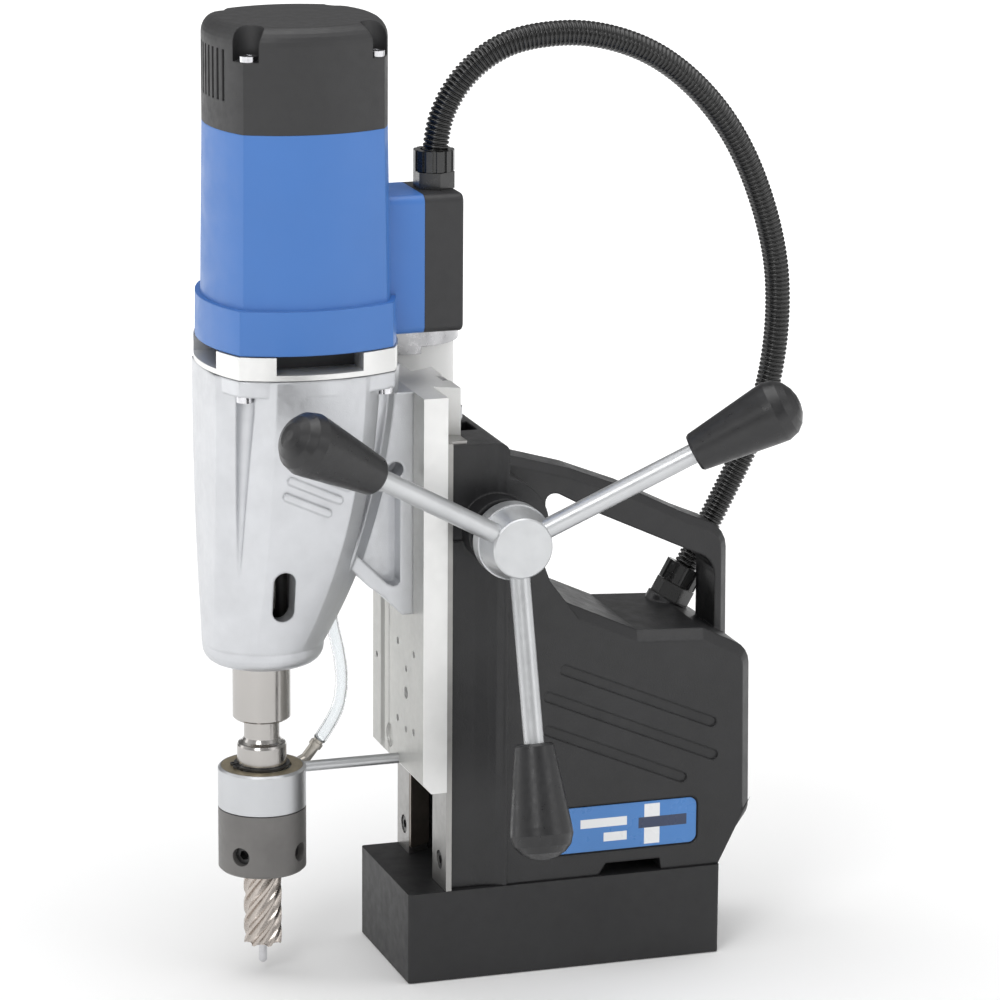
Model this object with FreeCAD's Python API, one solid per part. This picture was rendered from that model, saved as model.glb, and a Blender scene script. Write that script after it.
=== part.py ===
"""Magnetic drill press, modelled in millimetres.

Frame: the origin is the middle of the magnet foot's underside, +Z is up, -Y is the front, where
the spindle is, and +X is the operator's side, where the feed arms are. The drill head stands at
its working height, with the cutter's pilot just above the base plane.
"""
import FreeCAD, Part
import math
import os

V = FreeCAD.Vector
X_AXIS, Y_AXIS, Z_AXIS = V(1, 0, 0), V(0, 1, 0), V(0, 0, 1)

# Driving dimensions
FOOT_L, FOOT_W, FOOT_H = 160.0, 80.0, 45.0
RAIL_TOP = 267.5          # top of the two guide rails
RAIL_FRONT = -61.2        # front faces of the rails
RAIL_HALF = 39.8          # outer half width over both rails
COLUMN_TOP = 266.0
COLUMN_FRONT = -58.4      # front edge of the black stand
COLUMN_REAR = -30.0
COLUMN_HALF = 36.5        # column half width between the ridges
RIDGE_HALF = 39.6         # half width at the ridge where column and box meet
BOX_HALF = 38.5           # half width of the rear box
BOX_BEVEL = 5.0
HANDLE_HALF = 13.0
HANDLE_BEVEL = 4.0
SLIDE_FRONT, SLIDE_BACK = -73.5, -61.5
SLIDE_HALF = 41.5
SLIDE_LOW, SLIDE_HIGH = 95.7, 290.5
TAIL_BACK = -49.6         # rear face of the slide's dovetail
TAIL_NARROW, TAIL_WIDE = 17.5, 23.5
FEED_Y, FEED_Z = -36.2, 224.5
RACK_MODULE, PINION_TEETH = 1.5, 15
PITCH_R = RACK_MODULE * PINION_TEETH / 2
RACK_LINE = FEED_Y - PITCH_R
HUB_IN, HUB_OUT = 51.0, 79.0
HUB_FACE, HUB_WIDE = 14.6, 18.4   # radii of the hub's face and of its widest part
ARM_TILT = math.radians(17)
ARM_REACH = 142.5         # from the feed axis to a knob's end, across the axis
KNOB_START = 90.0
SPINDLE_Y = -142.0
SPINDLE_R = 14.0
MOTOR_Y = -124.5
BAND_LOW, BAND_HIGH = 304.5, 315.5
MOTOR_LOW, RING_HIGH, CAP_LOW, CAP_HIGH = 316.0, 337.0, 419.0, 468.0
COUNTER_X, COUNTER_Y = -17.86, -121.9   # 18 mm from the armature, 27 mm from the spindle
TOOTH_HEIGHT, TOOTH_DEPTH = 0.85, 1.15   # from a gear's pitch line, in modules
RING_LOW, RING_TOP, RING_R = 85.1, 105.0, 21.3
ARBOR_LOW = 53.4
CUTTER_LOW, CUTTER_R, CUTTER_TWIST, FLUTES = 15.0, 9.2, 190.0, 7
BOX_X, BOX_FRONT, BOX_SEAM, BOX_REAR = 20.0, -90.0, -66.6, -47.2
BOX_LOW, BOX_HIGH = 317.0, 383.5
GLAND_TOP = V(0, -56.0, BOX_HIGH)
GLAND_LOW = V(-23.5, 74.6, 164.5)
GLAND_TILT = 29.0         # degrees that the lower gland leans to the rear
GLAND_DEPTH = 2.5         # the conduit ends this far above a gland's base
CONDUIT_R = 6.2
BOTTLE = V(-70.5, -48.5, 272.0)
BOTTLE_R = 24.0
HOSE_R = 3.2


# Helpers
def box(x0, x1, y0, y1, z0, z1):
    return Part.makeBox(x1 - x0, y1 - y0, z1 - z0, V(x0, y0, z0))


def rod(radius, start, end):
    axis = end.sub(start)
    return Part.makeCylinder(radius, axis.Length, start, axis)


def cone(r0, r1, start, end):
    axis = end.sub(start)
    return Part.makeCone(r0, r1, axis.Length, start, axis)


def upright(radius, x, y, z0, z1):
    return rod(radius, V(x, y, z0), V(x, y, z1))


def tube(outer, inner, x, y, z0, z1):
    return upright(outer, x, y, z0, z1).cut(upright(inner, x, y, z0, z1))


def cross(radius, y, z, x0, x1):
    return rod(radius, V(x0, y, z), V(x1, y, z))


def prism(points, direction):
    return Part.Face(Part.makePolygon(points + points[:1])).extrude(direction)


def side_plate(outline, x0, x1):
    """A plate whose outline lies in the YZ plane."""
    return prism([V(x0, y, z) for y, z in outline], V(x1 - x0, 0, 0))


def plan_plate(outline, z0, z1):
    """A plate whose outline lies in the XY plane."""
    return prism([V(x, y, z0) for x, y in outline], V(0, 0, z1 - z0))


def hexagon(across, centre, height, axis=Z_AXIS):
    radius = across / math.sqrt(3)
    corners = [V(radius * math.cos(math.radians(a)), radius * math.sin(math.radians(a)), 0)
               for a in range(0, 360, 60)]
    solid = prism(corners, V(0, 0, height))
    solid.Placement = FreeCAD.Placement(centre, FreeCAD.Rotation(Z_AXIS, axis))
    return solid


def fuse(*solids):
    joined = solids[0]
    for solid in solids[1:]:
        joined = joined.fuse(solid)
    return joined.removeSplitter()


def cut(solid, *tools):
    for tool in tools:
        solid = solid.cut(tool)
    return solid


def mirror_x(shape):
    return shape.mirror(V(0, 0, 0), X_AXIS)


def group(solids):
    return Part.makeCompound(solids)


def revolve(profile, x, y):
    """Turns (radius, z) points about the upright axis through x, y."""
    face = Part.Face(Part.makePolygon([V(x + r, y, z) for r, z in profile + profile[:1]]))
    return face.revolve(V(x, y, 0), Z_AXIS, 360)


def rounded(outline, radii, steps=4):
    """Replaces the corners numbered in radii by short chords of an arc of that radius."""
    points = []
    for index, corner in enumerate(outline):
        if index not in radii:
            points.append(corner)
            continue
        before, after = outline[index - 1], outline[(index + 1) % len(outline)]
        here = V(corner[0], corner[1], 0)
        back = V(before[0], before[1], 0).sub(here).normalize()
        ahead = V(after[0], after[1], 0).sub(here).normalize()
        half_angle = back.getAngle(ahead) / 2
        reach = radii[index] / math.tan(half_angle)
        centre = here.add(back.add(ahead).normalize().multiply(radii[index] / math.sin(half_angle)))
        start = here.add(V(back).multiply(reach)).sub(centre)
        end = here.add(V(ahead).multiply(reach)).sub(centre)
        for step in range(steps + 1):
            mix = V(start).multiply(steps - step).add(V(end).multiply(step))
            point = centre.add(mix.normalize().multiply(radii[index]))
            points.append((point.x, point.y))
    return points


def inset(outline, distances):
    """Moves each side of a YZ outline inwards by its own distance; side i starts at point i."""
    lines = []
    for (y0, z0), (y1, z1), distance in zip(outline, outline[1:] + outline[:1], distances):
        length = math.hypot(y1 - y0, z1 - z0)
        along = ((y1 - y0) / length, (z1 - z0) / length)
        lines.append((y0 - along[1] * distance, z0 + along[0] * distance, *along))
    moved = []
    for before, after in zip(lines[-1:] + lines[:-1], lines):
        y0, z0, ay, az = before
        y1, z1, by, bz = after
        cross_product = ay * bz - az * by
        share = ((y1 - y0) * bz - (z1 - z0) * by) / cross_product
        moved.append((y0 + share * ay, z0 + share * az))
    return moved


def bevelled_plate(outline, half, bevel, bevelled):
    """A plate of the given half width whose chosen sides step in by the bevel at both faces.
    The outline runs counter-clockwise in the YZ plane, seen from +X."""
    inner = inset(outline, [bevel if side in bevelled else 0 for side in range(len(outline))])
    solid = side_plate(outline, -half + bevel, half - bevel)
    for side in (-1, 1):
        rims = [Part.makePolygon([V(side * x, y, z) for y, z in line + line[:1]])
                for x, line in ((half - bevel, outline), (half, inner))]
        solid = solid.fuse(loft(rims))
    return solid.removeSplitter()


def bowed_edge(start, end, bow):
    """An arc from start to end that bulges to the right of its direction by bow."""
    along = end.sub(start)
    out = V(along.y, -along.x, 0).normalize()
    middle = start.add(along.multiply(0.5)).add(out.multiply(bow))
    return Part.Arc(start, middle, end).toShape()


def bowed_wire(corners, bows):
    pairs = zip(corners, corners[1:] + corners[:1], bows)
    return Part.Wire([bowed_edge(a, b, bow) for a, b, bow in pairs])


def four_sided(half, bow, y, z):
    """A square with bowed sides: the motor's section."""
    signs = ((-1, -1), (1, -1), (1, 1), (-1, 1))
    return bowed_wire([V(sx * half, y + sy * half, z) for sx, sy in signs], [bow] * 4)


def eight_sided(half, corner, side_bow, facet_bow, y, z):
    """A square with cut corners and bowed sides: the gear housing's section."""
    points = [(-corner, -half), (corner, -half), (half, -corner), (half, corner),
              (corner, half), (-corner, half), (-half, corner), (-half, -corner)]
    return bowed_wire([V(px, y + py, z) for px, py in points], [side_bow, facet_bow] * 4)


def loft(wires, ruled=True):
    return Part.makeLoft(wires, True, ruled)


def round_edges(solid, radius, chosen):
    edges = [edge for edge in solid.Edges if chosen(edge)]
    return solid.makeFillet(radius, edges)


def is_upright(edge):
    low, high = edge.BoundBox.ZMin, edge.BoundBox.ZMax
    return high - low > 5 and edge.BoundBox.XLength < 0.01 and edge.BoundBox.YLength < 0.01


def gear(teeth, module, y, z0, z1, x=0.0, turn=0.0):
    """A spur gear with straight-sided teeth about an upright axis, one of them at angle turn."""
    pitch = 2 * math.pi / teeth
    tip, root = module * (teeth / 2 + TOOTH_HEIGHT), module * (teeth / 2 - TOOTH_DEPTH)
    outline = []
    for tooth in range(teeth):
        angle = turn + tooth * pitch
        for share, radius in ((-0.28, root), (-0.1, tip), (0.1, tip), (0.28, root)):
            at = angle + share * pitch
            outline.append((x + radius * math.cos(at), y + radius * math.sin(at)))
    return plan_plate(outline, z0, z1)


def screw(head_r, head_h, shank_r, seat, tip, socket=0.45):
    """A socket screw: its head stands on seat, and its shank ends at tip."""
    back = seat.sub(tip).normalize()
    top = seat.add(V(back).multiply(head_h))
    floor = seat.add(V(back).multiply(head_h * 0.4))
    body = rod(head_r, seat, top).fuse(rod(shank_r, tip, seat))
    return body.cut(hexagon(head_r * 2 * socket, floor, head_h, back))


def cord_wire(points):
    """Straight runs between the points, joined by tangent arcs. Also gives the arcs' radii."""
    edges, radii, here = [], [], points[0]
    for before, corner, after in zip(points, points[1:], points[2:]):
        back, ahead = before.sub(corner), after.sub(corner)
        run = 0.45 * min(back.Length, ahead.Length)
        back.normalize()
        ahead.normalize()
        half_turn = (math.pi - back.getAngle(ahead)) / 2
        start = corner.add(V(back).multiply(run))
        end = corner.add(V(ahead).multiply(run))
        radius = run / math.tan(half_turn)
        middle = back.add(ahead).normalize()
        depth = radius / math.cos(half_turn) - radius
        edges.append(Part.LineSegment(here, start).toShape())
        edges.append(Part.Arc(start, corner.add(middle.multiply(depth)), end).toShape())
        radii.append(radius)
        here = end
    edges.append(Part.LineSegment(here, points[-1]).toShape())
    return Part.Wire(edges), radii


def cord(name, points, radius):
    wire, radii = cord_wire(points)
    start = points[1].sub(points[0])
    section = Part.Wire([Part.Circle(points[0], start, radius).toShape()])
    solid = wire.makePipeShell([section], True, False)
    worked = math.pi * radius ** 2 * wire.Length
    print(f"{name}: length {wire.Length:.0f} mm, volume {solid.Volume:.0f} of {worked:.0f} mm3,"
          f" radii {[round(r) for r in radii]}")
    return solid


# The magnet foot
COIL_OUT_X, COIL_OUT_Y, COIL_IN_X, COIL_IN_Y = 24.0, 62.0, 10.0, 48.0
COIL_TOP = 32.0
FOOT_SCREWS = [(x, y) for x in (-32, 32) for y in (-46, 70)]


def racetrack(half_x, half_y, z0, z1):
    solid = box(-half_x, half_x, -half_y, half_y, z0, z1)
    return round_edges(solid, min(half_x, half_y) * 0.6, is_upright)


def coil_ring(low, gap=0.0):
    outer = racetrack(COIL_OUT_X - gap, COIL_OUT_Y - gap, low, COIL_TOP)
    return outer.cut(racetrack(COIL_IN_X + gap, COIL_IN_Y + gap, low, COIL_TOP))


def magnet_coil():
    """The coil is potted in resin that stops just short of the foot's face."""
    return coil_ring(0.3, 0.1)


def magnet_foot():
    half_w, half_l = FOOT_W / 2, FOOT_L / 2
    block = round_edges(box(-half_w, half_w, -half_l, half_l, 0, FOOT_H), 1.5, is_upright)
    wire_hole = upright(4, -17, 20, COIL_TOP, FOOT_H)
    screw_holes = [upright(4, x, y, 0, FOOT_H) for x, y in FOOT_SCREWS]
    head_holes = [upright(7, x, y, 0, 10) for x, y in FOOT_SCREWS]
    return cut(block, coil_ring(-1), wire_hole, *screw_holes, *head_holes)


def foot_screws():
    return group([screw(6.5, 8, 4, V(x, y, 10), V(x, y, FOOT_H + 9)) for x, y in FOOT_SCREWS])


# The stand: a column at the front, a box behind it and a carry handle over the box
BOX_OUTLINE = [(-30, FOOT_H), (79.5, FOOT_H), (80.5, 47), (96.8, 70.5), (95.6, 153),
               (71.5, 165), (37, 167), (0, 184), (-9, 196), (-16, 215), (-30, 240)]
BOX_ROUNDS = {3: 9, 4: 12}
HANDLE_OUTER = [(-31, 150), (92.6, 150), (92, 207.5), (69, 217.3), (40, 231.8), (11, 243.3),
                (-14.5, 250.6), (-31, 255)]
HANDLE_ROUNDS = {2: 14}
HANDLE_HOLE = [(-3, 232.5), (3, 232.5), (24.5, 220.8), (69, 200), (85, 193), (85, 150),
               (60, 150), (10, 160), (-3, 190)]
HOLE_ROUNDS = {0: 4, 1: 5, 4: 12}
SLOT_Y0, SLOT_Y1, SLOT_TOP = 21.0, 49.0, 51.0
GROOVE_SLOPE = 0.43
GROOVES = [(-1, 151, 75), (-9, 138, 76), (-9, 121, 60)]   # start y, start z, end y
LABEL = (-14.0, 68.0, 57.5, 80.5)                          # y0, y1, z0, z1
LABEL_R = 4.0
PANEL_HALF, PANEL_LOW, PANEL_HIGH = 25.0, 80.0, 142.0


def column():
    """The column's plan has a hollow flank that rises to a ridge beside the box."""
    flank = [(COLUMN_HALF, COLUMN_FRONT), (COLUMN_HALF, -46), (37, -40), (38, -35.5),
             (RIDGE_HALF, -32), (RIDGE_HALF, COLUMN_REAR)]
    outline = [(-x, y) for x, y in flank] + flank[::-1]
    solid = plan_plate(outline, FOOT_H, COLUMN_TOP)
    return solid.cut(round_cutter())


def round_cutter():
    """Takes the column's top rear corner off with a round."""
    radius = 5.0
    y, z = COLUMN_REAR - radius, COLUMN_TOP - radius
    corner = box(-50, 50, y, COLUMN_REAR + 1, z, COLUMN_TOP + 1)
    return corner.cut(cross(radius, y, z, -50, 50))


def bevelled_box():
    """Both flanks of the box step in by the bevel along its back and top."""
    outline = rounded(BOX_OUTLINE, BOX_ROUNDS)
    return bevelled_plate(outline, BOX_HALF, BOX_BEVEL, range(2, len(outline) - 4))


def carry_handle():
    outline = rounded(HANDLE_OUTER, HANDLE_ROUNDS)
    solid = bevelled_plate(outline, HANDLE_HALF, HANDLE_BEVEL, range(1, len(outline) - 1))
    hole = rounded(HANDLE_HOLE, HOLE_ROUNDS)
    return solid.cut(side_plate(hole, -HANDLE_HALF - 1, HANDLE_HALF + 1))


def shaft_arch():
    """The round of the housing behind the column, about the feed shaft."""
    arch = cross(24, FEED_Y + 2, FEED_Z, -RIDGE_HALF, RIDGE_HALF)
    return arch.common(box(-50, 50, COLUMN_REAR - 1, 0, 190, 260))


def slanted_groove(y0, z0, y1, depth, width):
    """A round-ended groove in the +X flank of the box."""
    z1 = z0 - GROOVE_SLOPE * (y1 - y0)
    x0, x1 = BOX_HALF - depth, BOX_HALF + 1
    length = math.hypot(y1 - y0, z1 - z0)
    across = V(0, (z0 - z1) / length, (y1 - y0) / length).multiply(width / 2)
    start, end = V(x0, y0, z0), V(x0, y1, z1)
    bar = prism([start.add(across), end.add(across), end.sub(across), start.sub(across)],
                V(x1 - x0, 0, 0))
    ends = [cross(width / 2, point.y, point.z, x0, x1) for point in (start, end)]
    return fuse(bar, *ends)


def label_plate(x0, x1, margin=0.0):
    y0, y1, z0, z1 = LABEL
    solid = box(x0, x1, y0 - margin, y1 + margin, z0 - margin, z1 + margin)
    return round_edges(solid, LABEL_R + margin,
                       lambda edge: edge.BoundBox.XLength > (x1 - x0) * 0.9)


def stand_housing():
    pillars = [cross(2.5, y, z, -34, -30) for y in (9, 66) for z in (79, 136)]
    shell = fuse(column(), bevelled_box(), carry_handle(), shaft_arch(),
                 cross(17, FEED_Y, FEED_Z, 30, 49.5), gland_seat())
    channel = fuse(box(-27, 27, -70, -48, FOOT_H, RAIL_TOP),
                   box(-9, 9, -49, FEED_Y, FOOT_H, COLUMN_TOP))
    pinion_room = cross(PITCH_R + 2.5, FEED_Y, FEED_Z, -9, 9)
    rail_seats = [box(x0, x0 + 15, -70, -50, FOOT_H, RAIL_TOP) for x0 in (-35, 20)]
    shaft_bore = cross(10, FEED_Y, FEED_Z, -45, 60)
    inside = side_plate([(-24, 60), (75, 60), (88, 80), (88, 146), (68, 158), (36, 160),
                         (2, 176), (-24, 176)], -33, 33)
    rear_window = box(-20, 20, 85, 102, PANEL_LOW + 6, PANEL_HIGH - 6)
    panel_seat = box(-PANEL_HALF, PANEL_HALF, PANEL_BACK, 102, PANEL_LOW, PANEL_HIGH)
    strap_slot = side_plate([(SLOT_Y0 - 4.5, FOOT_H - 1), (SLOT_Y1 + 1, FOOT_H - 1),
                             (SLOT_Y1, SLOT_TOP), (SLOT_Y0, SLOT_TOP)], -45, 45)
    wire_hole = upright(4, -17, 20, FOOT_H, 61)
    seam = box(COLUMN_HALF - 0.6, 50, COLUMN_FRONT, FEED_Y, 218.9, 220.1)
    seam = seam.cut(cross(17, FEED_Y, FEED_Z, 30, 60))
    solid = cut(shell, channel, pinion_room, *rail_seats, shaft_bore, inside, rear_window,
                panel_seat, strap_slot, wire_hole, seam, gland_bore(), mains_bore())
    solid = fuse(solid, *pillars)
    grooves = [slanted_groove(y0, z0, y1, 1.3, 5.2) for y0, z0, y1 in GROOVES]
    solid = cut(solid, *grooves, *[mirror_x(groove) for groove in grooves])
    solid = cut(solid, label_plate(BOX_HALF - 1.2, BOX_HALF + 1, 0.8))
    screw_holes = [upright(4, x, y, FOOT_H, FOOT_H + 10) for x, y in FOOT_SCREWS]
    rail_holes = [rod(2.5, V(x, -52, z), V(x, -40, z)) for x, z in RAIL_SCREWS]
    panel_holes = [rod(1.5, V(x, 80, z), V(x, 99, z)) for x, z in PANEL_SCREWS]
    stop_hole = upright(3, *STOP_SCREW, COLUMN_TOP - 12, COLUMN_TOP)
    gib_holes = [rod(2.5, V(-45, -55, z), V(-20, -55, z)) for z in GIB_SCREWS]
    return cut(solid, *screw_holes, *rail_holes, *panel_holes, stop_hole, *gib_holes)


def name_plate():
    return label_plate(BOX_HALF - 1.2, BOX_HALF - 0.6)


# Guide rails, gib and their screws
RAIL_SCREWS = [(x, z) for x in (-29, 29) for z in (58, 150, 240)]
GIB_SCREWS = [80, 125, 170, 215, 250]
GIB_GAP = 3.0
STOP_SCREW = (-14, -42)


def tail_half(y):
    """Half the width of the slide's dovetail at a given Y."""
    return TAIL_NARROW + (TAIL_WIDE - TAIL_NARROW) * (y - SLIDE_BACK) / (TAIL_BACK - SLIDE_BACK)


def guide_rail(side):
    """The +X rail; the -X one leaves room for the gib."""
    room = 0.1 if side > 0 else GIB_GAP
    wide = TAIL_WIDE + room
    front = tail_half(RAIL_FRONT) + room
    outline = [(front, RAIL_FRONT), (RAIL_HALF, RAIL_FRONT), (RAIL_HALF, COLUMN_FRONT),
               (35, COLUMN_FRONT), (35, -50), (wide, -50)]
    solid = plan_plate([(side * x, y) for x, y in outline], FOOT_H, RAIL_TOP)
    for x, z in RAIL_SCREWS:
        if x * side > 0:
            solid = cut(solid, rod(2.5, V(x, -70, z), V(x, -40, z)),
                        rod(4.6, V(x, -70, z), V(x, -56.5, z)))
    if side < 0:
        solid = cut(solid, *[rod(2.5, V(-45, -55, z), V(-20, -55, z)) for z in GIB_SCREWS])
    return solid


def stand_screws():
    """The rails' cap screws, the gib's grub screws and the panel's four screws."""
    rail = [screw(4.3, 4.2, 2.5, V(x, -56.5, z), V(x, -41, z)) for x, z in RAIL_SCREWS]
    gib = [screw(2.4, 0.4, 2.4, V(-36, -55, z), V(-25, -55, z)) for z in GIB_SCREWS]
    panel = [screw(2.8, 1.6, 1.5, V(x, PANEL_FACE, z), V(x, 86, z)) for x, z in PANEL_SCREWS]
    return group(rail + gib + panel)


def gib_strip():
    """A brass strip that lies along the slide's dovetail on the -X side."""
    low, high = 0.1, GIB_GAP - 0.05
    front, back = SLIDE_BACK + 0.4, TAIL_BACK - 0.5
    outline = [(-tail_half(front) - low, front), (-tail_half(front) - high, front),
               (-tail_half(back) - high, back), (-tail_half(back) - low, back)]
    return plan_plate(outline, FOOT_H + 4, RAIL_TOP - 4)


def stop_screw():
    x, y = STOP_SCREW
    return screw(5, 7, 3, V(x, y, COLUMN_TOP), V(x, y, COLUMN_TOP - 12), 0.5)


# Feed shaft, hub and arms
def feed_bushes():
    near = cross(10, FEED_Y, FEED_Z, 18, 49.5).cut(cross(6.03, FEED_Y, FEED_Z, 10, 60))
    far = cross(10, FEED_Y, FEED_Z, -38, -18).cut(cross(6.03, FEED_Y, FEED_Z, -50, 0))
    return group([near, far])


def pinion_shaft():
    shaft = cross(6, FEED_Y, FEED_Z, -41, HUB_IN)
    pinion = gear(PINION_TEETH, RACK_MODULE, 0, -6.5, 6.5, turn=1.5 * math.pi / PINION_TEETH)
    pinion.Placement = FreeCAD.Placement(V(0, FEED_Y, FEED_Z), FreeCAD.Rotation(Y_AXIS, 90))
    return fuse(shaft, pinion, cross(3, FEED_Y, FEED_Z, 45, HUB_IN + 14))


def arm_line(angle):
    """The root point of an arm and its direction; the arms lean out from the hub."""
    radial = V(0, math.cos(angle), math.sin(angle))
    root = V(ARM_ROOT, FEED_Y, FEED_Z).add(V(radial).multiply(10))
    lean = V(math.sin(ARM_TILT), 0, 0).add(V(radial).multiply(math.cos(ARM_TILT)))
    return root, lean


def arm_point(angle, reach):
    root, lean = arm_line(angle)
    return root.add(V(lean).multiply((reach - 10) / math.cos(ARM_TILT)))


ARM_ROOT = 72.0
ARM_PLACES = {"down": -90, "front": 150, "rear": 30}
ARM_R = 4.8


def feed_hub():
    """A neck, a flange and a cone that narrows to the hub's flat face."""
    neck = cross(15, FEED_Y, FEED_Z, HUB_IN, 60)
    flange = cross(HUB_WIDE, FEED_Y, FEED_Z, 58.5, 66)
    face = HUB_OUT - 0.7
    taper = cone(HUB_WIDE - 0.6, HUB_FACE, V(66, FEED_Y, FEED_Z), V(face, FEED_Y, FEED_Z))
    rim = cone(HUB_FACE, HUB_FACE - 0.7, V(face, FEED_Y, FEED_Z), V(HUB_OUT, FEED_Y, FEED_Z))
    hub = fuse(neck, flange, taper, rim)
    hub = hub.cut(cross(3, FEED_Y, FEED_Z, HUB_IN - 1, HUB_IN + 14))
    arms = [rod(ARM_R, *arm_line_ends(math.radians(a), 30)) for a in ARM_PLACES.values()]
    return cut(hub, *arms)


def arm_line_ends(angle, reach):
    return arm_point(angle, 8), arm_point(angle, reach)


def feed_arm(angle):
    return rod(ARM_R, *arm_line_ends(angle, KNOB_START + 30))


def feed_knob(angle):
    """A tapered grip, widest just before its domed end."""
    _, lean = arm_line(angle)
    start = arm_point(angle, KNOB_START)
    length = (ARM_REACH - KNOB_START) / math.cos(ARM_TILT)
    profile = [(0, 0), (8.6, 0), (9.4, 1.2), (14.6, length - 16)]
    dome = [(15.0 * math.cos(t), length - 12 + 12 * math.sin(t))
            for t in (math.radians(a) for a in (0, 25, 45, 65, 80))]
    solid = revolve(profile + dome + [(0, length)], 0, 0)
    solid.Placement = FreeCAD.Placement(start, FreeCAD.Rotation(Z_AXIS, lean))
    return solid.cut(rod(ARM_R, *arm_line_ends(angle, KNOB_START + 30)))


# The head's slide and rack
def head_slide():
    flange = box(-SLIDE_HALF, SLIDE_HALF, SLIDE_FRONT, SLIDE_BACK, SLIDE_LOW, SLIDE_HIGH)
    tail = plan_plate([(-TAIL_NARROW, SLIDE_BACK), (TAIL_NARROW, SLIDE_BACK),
                       (TAIL_WIDE, TAIL_BACK), (-TAIL_WIDE, TAIL_BACK)], SLIDE_LOW, SLIDE_HIGH)
    rack_seat = box(-6.5, 6.5, -53.2, TAIL_BACK + 1, SLIDE_LOW, SLIDE_HIGH)
    grooves = [box(-28.5, -21.6, SLIDE_FRONT - 1, SLIDE_FRONT + 2.2, SLIDE_LOW, SLIDE_HIGH),
               box(-15, -13.8, SLIDE_FRONT - 1, SLIDE_FRONT + 0.8, SLIDE_LOW, SLIDE_HIGH)]
    corner = prism([V(SLIDE_HALF + 1, SLIDE_FRONT - 1, SLIDE_LOW - 1),
                    V(SLIDE_HALF + 1, SLIDE_FRONT + 5, SLIDE_LOW - 1),
                    V(SLIDE_HALF + 1, SLIDE_FRONT - 1, SLIDE_LOW + 6)], V(-2 * SLIDE_HALF - 2, 0, 0))
    recess = rod(6, V(-13, SLIDE_FRONT - 1, 110), V(-13, SLIDE_FRONT + 1.5, 110))
    holes = [rod(r, V(x, SLIDE_FRONT - 1, z), V(x, SLIDE_FRONT + 9, z)) for x, z, r in SLIDE_HOLES]
    rod_hole = rod(ROD_R, V(0, SLIDE_FRONT - 1, ROD_Z), V(0, SLIDE_FRONT + 8, ROD_Z))
    solid = cut(fuse(flange, tail), rack_seat, *grooves, corner, recess, *holes, rod_hole)
    for x, z in BRACKET_SCREWS:
        solid = cut(solid, rod(3, V(x, -90, z), V(x, -40, z)),
                    rod(5.2, V(x, -57, z), V(x, -40, z)))
    for z in RACK_SCREWS:
        solid = cut(solid, rod(2, V(0, -64, z), V(0, -50, z)))
    return cut(solid, *[cross(2, *at, -SLIDE_HALF - 1, -SLIDE_HALF + 9) for at in ARM_SCREWS])


SLIDE_HOLES = [(-35, 145, 1.6), (0, 161.5, 1.8), (26, 161.5, 1.8), (13.5, 151, 1.6),
               (13.5, 139, 3.0), (0, 122.5, 1.8), (13.5, 120.5, 1.6), (26, 122.5, 1.8)]
ROD_R, ROD_Z = 2.6, 102.0
BRACKET_SCREWS = [(x, z) for x in (-12, 12) for z in (196, 276)]
RACK_SCREWS = [115, 193, 271]
ARM_SCREWS = [(-67.5, 270), (-67.5, 284)]


def feed_rack():
    """Its teeth face the rear and mesh with the pinion."""
    pitch = math.pi * RACK_MODULE
    tip, root = RACK_LINE + TOOTH_HEIGHT * RACK_MODULE, RACK_LINE - TOOTH_DEPTH * RACK_MODULE
    outline = [(-53.2, SLIDE_HIGH - 1), (-53.2, SLIDE_LOW + 1), (root, SLIDE_LOW + 1)]
    count = int((SLIDE_HIGH - SLIDE_LOW - 8) / pitch)
    first = FEED_Z - pitch * int((FEED_Z - SLIDE_LOW - 4) / pitch)
    for tooth in range(count):
        z = first + tooth * pitch
        for share, y in ((-0.3, root), (-0.1, tip), (0.1, tip), (0.3, root)):
            outline.append((y, z + share * pitch))
    outline.append((root, SLIDE_HIGH - 1))
    solid = side_plate(outline, -6, 6)
    for z in RACK_SCREWS:
        solid = cut(solid, rod(2, V(0, -60, z), V(0, -45, z)), rod(3.6, V(0, -50.6, z), V(0, -40, z)))
    return solid


def slide_screws():
    """The screws that hold the rack, the gear housing's bracket and the bottle's arm."""
    rack = [screw(3.5, 1.4, 2, V(0, -50.6, z), V(0, -63, z)) for z in RACK_SCREWS]
    bracket_set = [screw(4.5, 5, 3, V(x, -57, z), V(x, -86, z)) for x, z in BRACKET_SCREWS]
    arm = [screw(3.6, 2.6, 2, V(-44.2, y, z), V(-SLIDE_HALF + 8.5, y, z)) for y, z in ARM_SCREWS]
    return group(rack + bracket_set + arm)


# The gear housing and its bracket
GEAR_SECTIONS = [(BAND_LOW, MOTOR_Y, 45.0, 21.5, 1.0, 1.0), (253.0, -127.2, 42.2, 20.5, 1.1, 1.0),
                 (205.0, -133.3, 35.7, 16.5, 1.5, 1.3), (168.0, -141.1, 27.2, 11.27, 2.24, 2.24)]
NOSE_R, NOSE_Y, NOSE_LOW, NOSE_HIGH = 29.2, -141.1, 158.0, 168.0
DRIFT_Y, DRIFT_Z0, DRIFT_Z1, DRIFT_R = -140.4, 190.4, 205.0, 5.3
CASE_SCREW = 34.0         # from the motor axis, both ways
FLANGE_LOW = 296.3        # underside of the housing's square top flange
SCREW_SEAT = FLANGE_LOW + 0.3
RIBS = [(-137, 263, -111), (-139, 256, -115.5), (-141, 248.3, -121)]


def gear_sections(shrink):
    return [eight_sided(half - shrink, corner - shrink * 0.41, side, facet, y, z)
            for z, y, half, corner, side, facet in GEAR_SECTIONS]


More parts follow.
